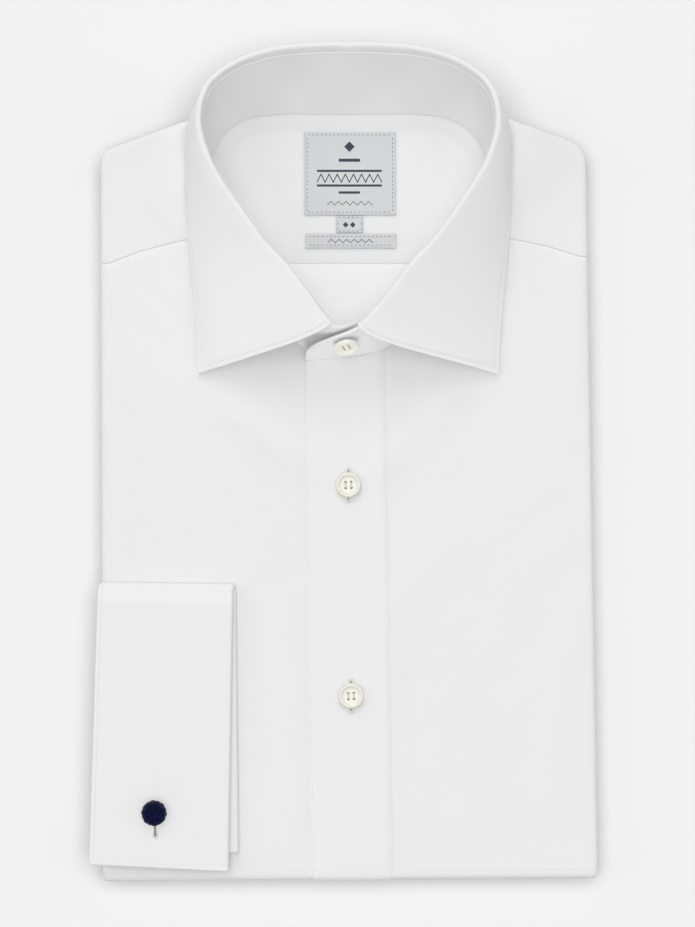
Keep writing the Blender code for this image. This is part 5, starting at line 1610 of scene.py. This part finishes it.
def build_leaf():
    """The collar leaf with its edge stitching."""
    middle = settle(leaf_surface(320, 14, 60))
    middle = respace(respace(middle, 1, 84, False, True), 0, 300, True, True)
    piece, outer, _, normal = cloth_piece(
        "collar_leaf_cloth", middle, LEAF_WALL, ("low0", "high0", "high1"),
        finish_named("cotton_leaf"), ("collar_leaf",), LEAF_STITCH_IN)
    lines = []
    for axis, low, start in ((1, False, LEAF_STITCH_IN), (0, True, LEAF_STITCH_START),
                             (0, False, LEAF_STITCH_START)):
        line = line_on(outer, normal, axis, LEAF_STITCH_IN, low)
        travel = path_travel(line[0])
        keep = (travel > start) & (travel < travel[-1] - LEAF_STITCH_IN)
        lines.append(clip_line(line, keep))
    stitches = sew("leaf_stitching", lines)
    declare_cloth(middle)


def light_collar():
    """Two lights of the collar's own: a small lamp that reaches only the stand and its button, and
    a low distant light that reaches only the leaf.

    The lamp aims from COLLAR_LIGHT_AT to TAB_AT; its power is setting * pi * distance^2.
    """
    settings = bpy.context.scene.shirt_studio
    start, aim = (np.array(COLLAR_LIGHT_AT) + SHIFT) * MM, (np.array(TAB_AT) + SHIFT) * MM
    distance = float(np.linalg.norm(aim - start))
    light = bpy.data.lights.new("collar_light", "AREA")
    light.shape, (light.size, light.size_y) = "RECTANGLE", COLLAR_LIGHT_SIZE
    light.energy = math.pi * distance ** 2 * settings.collar_light
    item = new_object("collar_light", light)
    item.location = start
    item.rotation_euler = (math.atan2(aim[1] - start[1], start[2] - aim[2]), 0.0, 0.0)
    item.visible_camera = False
    reach_only(item, "collar_stand_cloth", "button_collar_resin")
    reach_only(add_sun("leaf_light", *LEAF_SUN, settings.leaf_light), "collar_leaf_cloth")


def reach_only(light, *pieces):
    """Let a light reach some pieces alone."""
    light.light_linking.receiver_collection = reach_of(
        light.name + "_reach", *(bpy.data.objects[name] for name in pieces))


def cast_no_shadow(pieces, lights):
    """Keep some lights from casting the shadows of some pieces."""
    blockers = [bpy.data.objects[name] for name in pieces]
    for name in lights:
        bpy.data.objects[name].light_linking.blocker_collection = reach_of(
            name + "_blockers", *blockers, spared=True)


# --- cuff and sleeve ----------------------------------------------------------------------------


def cuff_levels():
    """Distances of the cuff's faces from the middle of its hollow, from the inside out."""
    inner_low = CUFF_HOLLOW / 2
    outer_low = inner_low + CUFF_WALL + SEAM_GAP
    return inner_low, inner_low + CUFF_WALL, outer_low, outer_low + CUFF_WALL


def cuff_middle():
    """Middle surface of the cuff. Across: out along the outer layer, a half circle at the hand edge
    and back along the inner layer. Round the girth: the upper half, a half turn and the lower half.
    """
    inner_low, inner_high, outer_low, outer_high = cuff_levels()
    inner_level, outer_level = (inner_low + inner_high) / 2, (outer_low + outer_high) / 2
    turn_level, lip = (inner_level + outer_level) / 2, (outer_level - inner_level) / 2
    outer_run, inner_run = np.zeros(CUFF_OUTER_COLUMNS), np.zeros(CUFF_INNER_COLUMNS)
    turn = np.radians(np.linspace(0, 180, CUFF_LIP_COLUMNS + 2))[1:-1]
    run = np.concatenate([np.linspace(0, 1, CUFF_OUTER_COLUMNS), np.ones(CUFF_LIP_COLUMNS),
                          np.linspace(1, 0, CUFF_INNER_COLUMNS)])
    level = np.concatenate([outer_run + outer_level, turn_level + lip * np.cos(turn),
                            inner_run + inner_level])
    bow = np.concatenate([outer_run, lip * np.sin(turn), inner_run])
    inside = np.arange(len(run)) > CUFF_OUTER_COLUMNS + CUFF_LIP_COLUMNS // 2
    share = np.concatenate([np.linspace(0, 1, CUFF_UPPER_ROWS), np.ones(CUFF_TURN_ROWS),
                            np.linspace(1, 0, CUFF_LOWER_ROWS)])[:, None]
    angle = np.concatenate([np.zeros(CUFF_UPPER_ROWS),
                            np.radians(np.linspace(0, 180, CUFF_TURN_ROWS + 2))[1:-1],
                            np.full(CUFF_LOWER_ROWS, math.pi)])[:, None]
    below = np.arange(len(share))[:, None] >= CUFF_UPPER_ROWS + CUFF_TURN_ROWS
    girth = np.concatenate([
        np.linspace(0, CUFF_FOLD_START, CUFF_UPPER_ROWS),
        np.linspace(CUFF_FOLD_START, CUFF_FOLD_END, CUFF_TURN_ROWS + 1)[1:],
        np.linspace(CUFF_FOLD_END, 1, CUFF_LOWER_ROWS + 1)[1:]])[:, None]
    hand_x = np.interp(girth, column(CUFF_HAND, 0), column(CUFF_HAND, 1))
    free_x = np.interp(girth, column(CUFF_FREE, 0), column(CUFF_FREE, 1))
    from_x = np.where(inside, CUFF_SEAM_X, free_x)
    x = between(from_x, hand_x - lip - CUFF_WALL / 2, run[None]) + bow[None]
    across = (x - CUFF_FREE_TOP) / (CUFF_HAND[0][1] - CUFF_FREE_TOP)
    fold_y = between(CUFF_FOLD_Y_LEFT, CUFF_FOLD_Y_RIGHT, across) - outer_high
    end_y = between(CUFF_END_Y_LEFT, CUFF_END_Y_RIGHT, across)
    end_y = np.where(below, CUFF_UNDER_END_Y, end_y)
    y = between(end_y, fold_y, share) + level[None] * np.sin(angle)
    pressed = 1 - CUFF_PRESSED * ease((y - fold_y + CUFF_PRESSED_LENGTH) / CUFF_PRESSED_LENGTH)
    z = STACK_HEIGHT + SEAM_GAP + (outer_high + level[None] * np.cos(angle)) * pressed
    return settle(np.stack([x, y, z], -1))


def respaced_but_turn(grid, axis, first, turn, counts):
    """The grid respaced on both sides of a turn, which keeps its own steps."""
    low, middle, high = np.split(grid, (first, first + turn), axis)
    return np.concatenate([respace(low, axis, counts[0], True, False), middle,
                           respace(high, axis, counts[1], False, True)], axis)


def build_cuff():
    """The turned-back cuff and its stitching."""
    middle = respaced_but_turn(cuff_middle(), 1, CUFF_OUTER_COLUMNS, CUFF_LIP_COLUMNS, (66, 34))
    middle = respaced_but_turn(middle, 0, CUFF_UPPER_ROWS, CUFF_TURN_ROWS, (90, 66))
    piece, outer, _, normal = cloth_piece(
        "cuff_cloth", middle, CUFF_WALL, ("low0", "high0", "low1", "high1"),
        finish_named("cotton_cuff"), ("cuff",), CUFF_STITCH_IN, flip=True)
    lines = [clip_line(line_on(outer, normal, axis, CUFF_STITCH_IN), part)
             for axis, part in ((1, slice(9, -9)), (0, slice(9, 62)))]
    stitches = sew("cuff_stitching", lines)
    declare_cloth(middle)


def sleeve_middle():
    """The sleeve's end: a path level from the cuff, round the side by part of an ellipse, with
    slight waves of height * sin(y / length + phase) along it.
    """
    start_z = STACK_HEIGHT + SEAM_GAP + cuff_levels()[3]
    axis_x, axis_z = left_side(SLEEVE_Y_TOP) + ROLL_OUT, STACK_HEIGHT - ROLL_HALF_HEIGHT
    clear = SLEEVE_GAP + SLEEVE_WALL / 2
    first = np.radians(np.linspace(0, 90, 24))
    second = np.radians(np.linspace(90, SLEEVE_TUCK_ANGLE, 14))[1:]
    turn = np.concatenate([first, second])
    x = np.concatenate([[CUFF_SEAM_X - SEAM_GAP], axis_x - (ROLL_OUT + clear) * np.sin(turn)])
    z = np.concatenate([[start_z], axis_z + (start_z - axis_z) * np.cos(first),
                        axis_z + (ROLL_HALF_HEIGHT + clear) * np.cos(second)])
    y = np.linspace(SLEEVE_Y_TOP, SLEEVE_Y_BOTTOM, 120)[None]
    waver = sum(height * np.sin(y / length + phase) for height, length, phase in SLEEVE_WAVES)
    return settle(np.stack([x[:, None] + waver, y + 0 * x[:, None], z[:, None] + 0 * y], -1))


def build_sleeve():
    """The end of the sleeve, from the cuff round the side of the stack."""
    middle = respace(sleeve_middle(), 1, 140, True, True)
    piece, *_ = cloth_piece("sleeve_cloth", middle, SLEEVE_WALL, ("low1", "high1"),
                            finish_named("cotton_body"), ("sleeve_right",))
    declare_cloth(middle)


# --- buttons and cufflink -----------------------------------------------------------------------


def collar_button_place():
    """Where the collar button sits on the stand's outer end: a point on the cloth, the button's
    own place, and its right and up directions.
    """
    travel, _ = collar_table()
    places = np.linspace(travel[-1] - 60.0, travel[-1], 61)
    grid = stand_surface(places, (COLLAR_BUTTON_LEVEL, COLLAR_BUTTON_LEVEL + 0.1))
    station = int(np.argmin(np.abs(grid[:, 0, 0] - COLLAR_BUTTON_X)))
    along = grid[station + 1, 0] - grid[station - 1, 0]
    outward = unit(np.cross(along, grid[station, 1] - grid[station, 0]))
    outward = -outward if outward[1] > 0 else outward
    clear = STAND_WALL / 2 + SEAM_GAP
    cloth = settle(grid[station, 0] + outward * clear)
    seat = settle(grid[station, 0] + outward * (clear + COLLAR_BUTTON_SHANK))
    return cloth, seat, -unit(along), outward


def front_button_place(x, y):
    """Where a button sits on the band."""
    top = STACK_HEIGHT + BAND_LIFT + BAND_CUSHION + BAND_WALL / 2 + BUTTON_CLEARANCE
    return settle(np.array([x, y, top]))


def button_mesh(name, origin, right, up):
    """A turned button with four holes cut through it."""
    vertices, faces = turned_arrays(BUTTON_PROFILE, 64)
    button = make_piece(name, placed(vertices, origin, right, up), faces, vertices[:, :2] * MM,
                        bpy.data.materials["button_resin"], "button",
                        (name.replace("_resin", ""),), BUTTON_SHARP_ANGLE)
    hole, hole_faces = turned_arrays(
        [(0, HOLE_LOW), (HOLE_RADIUS, HOLE_LOW), (HOLE_RADIUS, HOLE_HIGH), (0, HOLE_HIGH)], 20)
    points, faces = [], []
    for x in (-HOLE_SPREAD, HOLE_SPREAD):
        for y in (-HOLE_SPREAD, HOLE_SPREAD):
            faces += [[v + len(points) for v in face] for face in hole_faces]
            points += (hole + [x, y, 0.0]).tolist()
    mesh = new_mesh("drills", placed(np.array(points), origin, right, up), faces)
    face_outwards(mesh)
    drill = new_object("drills", mesh)
    modifier = button.modifiers.new("holes", "BOOLEAN")
    modifier.operation, modifier.solver, modifier.object = "DIFFERENCE", "EXACT", drill
    bpy.context.view_layer.update()
    finished = bpy.data.meshes.new_from_object(
        button.evaluated_get(bpy.context.evaluated_depsgraph_get()))
    button.modifiers.clear()
    button.data = finished
    finished.shade_smooth()
    finished.set_sharp_from_angle(angle=math.radians(BUTTON_SHARP_ANGLE))
    bpy.data.objects.remove(drill, do_unlink=True)


def thread_cross(origin, right, up):
    """Thread through the holes: two loops, each over the middle and down through two holes."""
    parts = []
    t = np.linspace(-1, 1, 25)
    y = (HOLE_SPREAD + LOOP_OVERHANG) * np.sign(t) * np.abs(t) ** 0.8
    z = LOOP_TOP - LOOP_DEPTH * np.clip((np.abs(t) - 0.80) / 0.20, 0, 1) ** 1.5
    for x in (-HOLE_SPREAD, HOLE_SPREAD):
        for offset in (-LOOP_OFFSET, LOOP_OFFSET):
            path = np.stack([np.full(25, x + offset), y, z], -1)
            vertices, faces, flat = tube_arrays(path, LOOP_RADIUS, 8)
            parts.append((placed(vertices, origin, right, up), faces, flat))
    return parts


def shank_arrays(origin, right, up):
    """The short column of thread between a button and the cloth, rippled by its turns."""
    path = np.stack([np.zeros(7), np.zeros(7), np.linspace(SHANK_TOP, -SHANK_LENGTH, 7)], -1)
    radius = SHANK_RADIUS + SHANK_RIPPLE * np.cos(np.linspace(0, 6, 7) * 2)
    vertices, faces, flat = tube_arrays(path, radius, 14)
    return placed(vertices, origin, right, up), faces, flat


def buttonhole_arrays(origin, right, up, length=BUTTONHOLE_LENGTH):
    """A worked buttonhole: a closed cord round a long slot, its thickness pulsing with each stitch,
    r + bar + stitch * cos(2 pi travel / pitch).
    """
    straight, end = length / 2 - BUTTONHOLE_END, BUTTONHOLE_HALF_WIDTH
    turn = np.linspace(-math.pi / 2, math.pi / 2, 13)
    side = np.linspace(-1, 1, 90)
    top = np.stack([end * np.sin(turn), straight + END_LENGTH * np.cos(turn)], -1)
    right_run = np.stack([np.full(90, end), -straight * side], -1)
    plan = np.concatenate([top, right_run[1:-1], -top, -right_run[1:-1]])
    steps = np.linalg.norm(np.roll(plan, -1, 0) - plan, axis=1)
    travel = np.concatenate([[0], np.cumsum(steps)[:-1]])
    past = (np.abs(plan[:, 1]) - straight - BUTTONHOLE_BAR_OUT) / BUTTONHOLE_BAR_WIDTH
    radius = BUTTONHOLE_CORD + BUTTONHOLE_BAR * np.exp(-past ** 2)
    radius = radius + BUTTONHOLE_STITCH * np.cos(2 * math.pi * travel / BUTTONHOLE_PITCH)
    path = np.stack([plan[:, 0], plan[:, 1], np.full(len(plan), BUTTONHOLE_LIFT)], -1)
    vertices, faces, flat = tube_arrays(path, radius, 10, closed=True)
    return placed(vertices * [1, 1, CORD_FLATNESS], origin, right, up), faces, flat


def slit_shadow_arrays(origin, right, up, length=BUTTONHOLE_LENGTH):
    """The open slit inside a buttonhole as a thin dark lens of painted shadow, half width w (1 -
    s^2)^0.5 + least.
    """
    s = np.linspace(-1, 1, 41)
    half = SLIT_HALF_WIDTH * (1 - s ** 2) ** 0.5 + SLIT_LEAST
    y, z = s * (length / 2 - BUTTONHOLE_END), np.full(41, SLIT_LIFT)
    outer = np.stack([np.stack([-half, y, z], -1), np.stack([half, y, z], -1)], 0)
    vertices, faces, flat = wall_arrays(outer, outer - [0, 0, SLIT_DEPTH])
    return placed(vertices, origin, right, up), faces, flat


def build_buttons():
    """Three buttons with their thread, and the buttonholes round them."""
    button_finish()
    thread, holes, slits = [], [], []
    for number, (x, y) in enumerate(FRONT_BUTTONS, 1):
        place = front_button_place(x, y)
        button_mesh(f"button_front_{number}_resin", place, BUTTON_TURN, (0, 0, 1))
        thread += thread_cross(place, BUTTON_TURN, (0, 0, 1))
        cloth = place - [0, 0, FRONT_HOLE_BELOW]
        slope = float(relief(x, y + 6.0) - relief(x, y - 6.0)) / 12.0
        for arrays, lines in ((buttonhole_arrays, holes), (slit_shadow_arrays, slits)):
            lines.append(arrays(cloth, (1, 0, 0), (0, -slope, 1)))
    cloth, seat, right, outward = collar_button_place()
    lean = outward + [0, 0, COLLAR_BUTTON_LEAN]
    button_mesh("button_collar_resin", seat, right, lean)
    thread += thread_cross(seat, right, lean)
    thread.append(shank_arrays(seat, right, lean))
    cloth, upward = cloth - outward * COLLAR_HOLE_BELOW, np.cross(outward, right)
    for arrays, lines in ((buttonhole_arrays, holes), (slit_shadow_arrays, slits)):
        lines.append(arrays(cloth, upward, outward, COLLAR_HOLE_LENGTH))
    # The slits are dark sheets of painted shadow, set where only the slit's shade falls.
    for name, parts, finish in (("button_thread", thread, "button_sewing_thread"),
                                ("buttonholes", holes, "sewing_thread"),
                                ("buttonhole_slits", slits, "slit_shadow")):
        make_piece(name, *joined(parts), finish_named(finish), "cloth")


def knot_arrays(centre, radius):
    """A woven knot: one closed line that goes three times round the ball, its latitude
    A cos(7t/3), over and under itself by sin(14t/3), as two cords side by side.
    """
    t = np.linspace(0, 2 * math.pi * KNOT_LEADS, 541)[:-1]
    cord = KNOT_CORD * radius
    latitude = KNOT_LATITUDE * np.cos(KNOT_BIGHTS * t / KNOT_LEADS)
    turn = unit(np.stack([np.cos(latitude), np.gradient(latitude, t)], -1))
    swing = KNOT_SWING * cord * np.sin(2 * KNOT_BIGHTS * t / KNOT_LEADS)
    reach = (radius - KNOT_CORDS_IN * cord) + swing
    parts = []
    for shift in (-cord / radius, cord / radius):
        lat = latitude + shift * turn[:, 0]
        lon = t - shift * turn[:, 1] / np.maximum(np.cos(latitude), 0.35)
        ball = np.stack([np.cos(lat) * np.cos(lon), np.cos(lat) * np.sin(lon), np.sin(lat)], -1)
        parts.append(tube_arrays(centre + reach[:, None] * ball, cord, 12, closed=True))
    return parts


def build_cufflink():
    """The silk knot, its core, the bar that enters the cuff, and the hole's worked edge."""
    silk = silk_finish()
    low, high = (np.array(corner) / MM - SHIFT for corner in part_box("cufflink_knot"))
    centre, radius = (low + high) / 2, float((high - low)[:2].mean()) / 2 * KNOT_FULLNESS
    centre[1] -= KNOT_SAG
    size = KNOT_CORE * radius
    core = [(max(size * math.cos(a), 0.0), size * math.sin(a))
            for a in np.radians(np.linspace(-90, 90, 17))]
    vertices, faces = turned_arrays(core, 24)
    knot = make_piece("silk_knot", *joined(knot_arrays(centre, radius)), silk, "silk",
                      ("cufflink_knot",), CLOTH_SHARP_ANGLE)
    flat = vertices[:, :2] * MM
    ball = make_piece("silk_knot_core", vertices + centre, faces, flat, silk, "silk")
    ball.parent = knot
    cloth_top = STACK_HEIGHT + SEAM_GAP + 2 * cuff_levels()[3]
    cloth_top = cloth_top + float(relief(BAR_ENTRY_X, BAR_ENTRY_Y))
    entry = np.array([BAR_ENTRY_X, BAR_ENTRY_Y, cloth_top])
    toward = unit(centre - entry)
    reach = np.linalg.norm(centre - entry) - BAR_END * radius - BAR_STRAIGHT
    bow = entry + BAR_BOW
    key = np.array([*(entry - [0, 0, depth] for depth in BAR_DEPTHS), entry, bow,
                    bow + toward * reach / 2, bow + toward * reach])
    path = smooth(np.linspace(0, 1, len(key)), key, np.linspace(0, 1, 40))
    make_piece("link_cord", *tube_arrays(path, BAR_RADIUS, 14), finish_named("cord_metal"), "metal",
               ("cufflink_bar",))
    turn = np.linspace(0, 2 * math.pi, 49)[:-1]
    eyelet = np.stack([EYELET_ACROSS * np.cos(turn), EYELET_ALONG * np.sin(turn),
                       0 * turn + EYELET_LIFT], -1)
    vertices, faces, flat = tube_arrays(eyelet, EYELET_CORD, 8, closed=True)
    vertices = placed(vertices * [1, 1, CORD_FLATNESS], entry + [0, EYELET_OFFSET, 0],
                      (1, 0, 0), (0, 0, 1))
    make_piece("cuff_link_hole", vertices, faces, flat, finish_named("sewing_thread"), "cloth")


# --- studio -------------------------------------------------------------------------------------


def add_sun(name, tilt, bearing, spread, share):
    """A soft distant light: tilted from straight above towards a bearing that starts at +Y.

    Its strength is pi * share / cos(tilt), so that it lights a level white card with that share.
    """
    light = bpy.data.lights.new(name, "SUN")
    light.energy = math.pi * share / math.cos(math.radians(tilt))
    light.angle = math.radians(spread)
    item = new_object(name, light)
    item.rotation_euler = (-math.radians(tilt), 0.0, math.radians(bearing))
    return item


def reach_of(name, *items, spared=False):
    """The only objects that a light reaches, or the only ones that it spares."""
    reach = bpy.data.collections.new(name)
    for item in items:
        reach.objects.link(item)
    for entry in reach.collection_objects:
        entry.light_linking.link_state = "EXCLUDE" if spared else "INCLUDE"
    return reach


def build_studio():
    """Floor, soft lights, pale surroundings and the camera."""
    scene = bpy.context.scene
    settings = scene.shirt_studio
    corners = [(x * FLOOR_HALF, y * FLOOR_HALF, FLOOR_Z)
               for x, y in ((-1, -1), (1, -1), (1, 1), (-1, 1))]
    mesh = bpy.data.meshes.new("floor")
    mesh.from_pydata(corners, [], [(0, 1, 2, 3)])
    floor = new_object("floor", mesh)
    material, _, _ = new_material("floor_card", tuple(settings.floor), 0.9, specular=0.1)
    mesh.materials.append(material)
    world = bpy.data.worlds.new("studio")
    world.use_nodes = True
    background = world.node_tree.nodes["Background"]
    background.inputs["Color"].default_value = (1.0, 1.0, 1.0, 1.0)
    background.inputs["Strength"].default_value = settings.sky
    scene.world = world
    lights = {name: add_sun(name + "_light", *aim, getattr(settings, name)) for name, *aim in SUNS}
    lights["upper"].light_linking.receiver_collection = reach_of(
        "upper_light_reach", floor, spared=True)
    reach_only(add_sun("floor_light", *FLOOR_SUN, settings.floor_light), "floor")
    camera = bpy.data.cameras.new("camera")
    camera.sensor_fit = "VERTICAL"
    camera.sensor_height = SENSOR
    camera.lens = FOCAL_PIXELS / PICTURE_HEIGHT * SENSOR
    camera.clip_start, camera.clip_end = 0.05, 20.0
    item = new_object("camera", camera)
    item.location = (CAMERA_X, CAMERA_Y, CAMERA_HEIGHT)
    scene.camera = item
    scene.view_settings.view_transform = "Standard"
    scene.view_settings.look = "None"


# --- operators and panel ------------------------------------------------------------------------


class SHIRT_OT_studio(bpy.types.Operator):
    """Make the floor, the lights and the camera"""
    bl_idname = "shirt.studio"
    bl_label = "Studio"

    def execute(self, context):
        build_studio()
        return {"FINISHED"}


class SHIRT_OT_folds(bpy.types.Operator):
    """Make the folds hidden inside the stack"""
    bl_idname = "shirt.folds"
    bl_label = "Hidden folds"

    def execute(self, context):
        build_folds()
        return {"FINISHED"}


class SHIRT_OT_fronts(bpy.types.Operator):
    """Make both fronts"""
    bl_idname = "shirt.fronts"
    bl_label = "Fronts"

    def execute(self, context):
        build_fronts()
        return {"FINISHED"}


class SHIRT_OT_band(bpy.types.Operator):
    """Make the front band"""
    bl_idname = "shirt.band"
    bl_label = "Front band"

    def execute(self, context):
        build_band()
        return {"FINISHED"}


class SHIRT_OT_yoke(bpy.types.Operator):
    """Make the outer yoke"""
    bl_idname = "shirt.yoke"
    bl_label = "Yoke"

    def execute(self, context):
        build_yoke()
        return {"FINISHED"}


class SHIRT_OT_inside(bpy.types.Operator):
    """Make the inner yoke and the back seen through the neck"""
    bl_idname = "shirt.inside"
    bl_label = "Inside of the neck"

    def execute(self, context):
        build_inside()
        return {"FINISHED"}


class SHIRT_OT_labels(bpy.types.Operator):
    """Make the woven labels"""
    bl_idname = "shirt.labels"
    bl_label = "Labels"

    def execute(self, context):
        build_labels()
        return {"FINISHED"}


class SHIRT_OT_collar(bpy.types.Operator):
    """Make the collar's stand and leaf"""
    bl_idname = "shirt.collar"
    bl_label = "Collar"

    def execute(self, context):
        build_stand()
        build_leaf()
        return {"FINISHED"}


class SHIRT_OT_cuff(bpy.types.Operator):
    """Make the turned-back cuff and the end of its sleeve"""
    bl_idname = "shirt.cuff"
    bl_label = "Cuff"

    def execute(self, context):
        build_sleeve()
        build_cuff()
        return {"FINISHED"}


class SHIRT_OT_buttons(bpy.types.Operator):
    """Make the buttons and buttonholes"""
    bl_idname = "shirt.buttons"
    bl_label = "Buttons"

    def execute(self, context):
        build_buttons()
        light_collar()
        cast_no_shadow(("collar_leaf_cloth", "leaf_stitching"), ("fill_light",))
        return {"FINISHED"}


class SHIRT_OT_cufflink(bpy.types.Operator):
    """Make the silk knot cufflink"""
    bl_idname = "shirt.cufflink"
    bl_label = "Cufflink"

    def execute(self, context):
        build_cufflink()
        cast_no_shadow(("silk_knot", "silk_knot_core"),
                       ("upper_light", "left_light", "right_light", "lower_light"))
        return {"FINISHED"}


OPERATORS = (
    SHIRT_OT_studio, SHIRT_OT_folds, SHIRT_OT_fronts, SHIRT_OT_band, SHIRT_OT_yoke, SHIRT_OT_inside,
    SHIRT_OT_labels, SHIRT_OT_collar, SHIRT_OT_cuff, SHIRT_OT_buttons, SHIRT_OT_cufflink,
)
GROUPS = (
    ("shirt_sizes", ShirtSizes), ("shirt_colours", ShirtColours), ("shirt_studio", StudioSettings),
)


class SHIRT_PT_panel(bpy.types.Panel):
    """The shirt's sizes, colours and pieces"""
    bl_idname = "SHIRT_PT_panel"
    bl_label = "Folded dress shirt"
    bl_space_type = "VIEW_3D"
    bl_region_type = "UI"
    bl_category = "Shirt"

    def draw(self, context):
        for name, group in GROUPS:
            box = self.layout.box()
            for prop in group.__annotations__:
                box.prop(getattr(context.scene, name), prop)
        for operator in OPERATORS:
            self.layout.operator(operator.bl_idname)


CLASSES = (ShirtSizes, ShirtColours, StudioSettings, *OPERATORS, SHIRT_PT_panel)


def register():
    """Register every class and give the scene its settings."""
    for item in CLASSES:
        bpy.utils.register_class(item)
    for name, group in GROUPS:
        setattr(bpy.types.Scene, name, bpy.props.PointerProperty(type=group))


def unregister():
    """Take the settings and the classes away again."""
    for name, _ in GROUPS:
        delattr(bpy.types.Scene, name)
    for item in reversed(CLASSES):
        bpy.utils.unregister_class(item)


def main():
    """Make the whole shirt."""
    register()
    for operator in OPERATORS:
        group, name = operator.bl_idname.split(".")
        getattr(getattr(bpy.ops, group), name)()


if __name__ == "__main__":
    main()
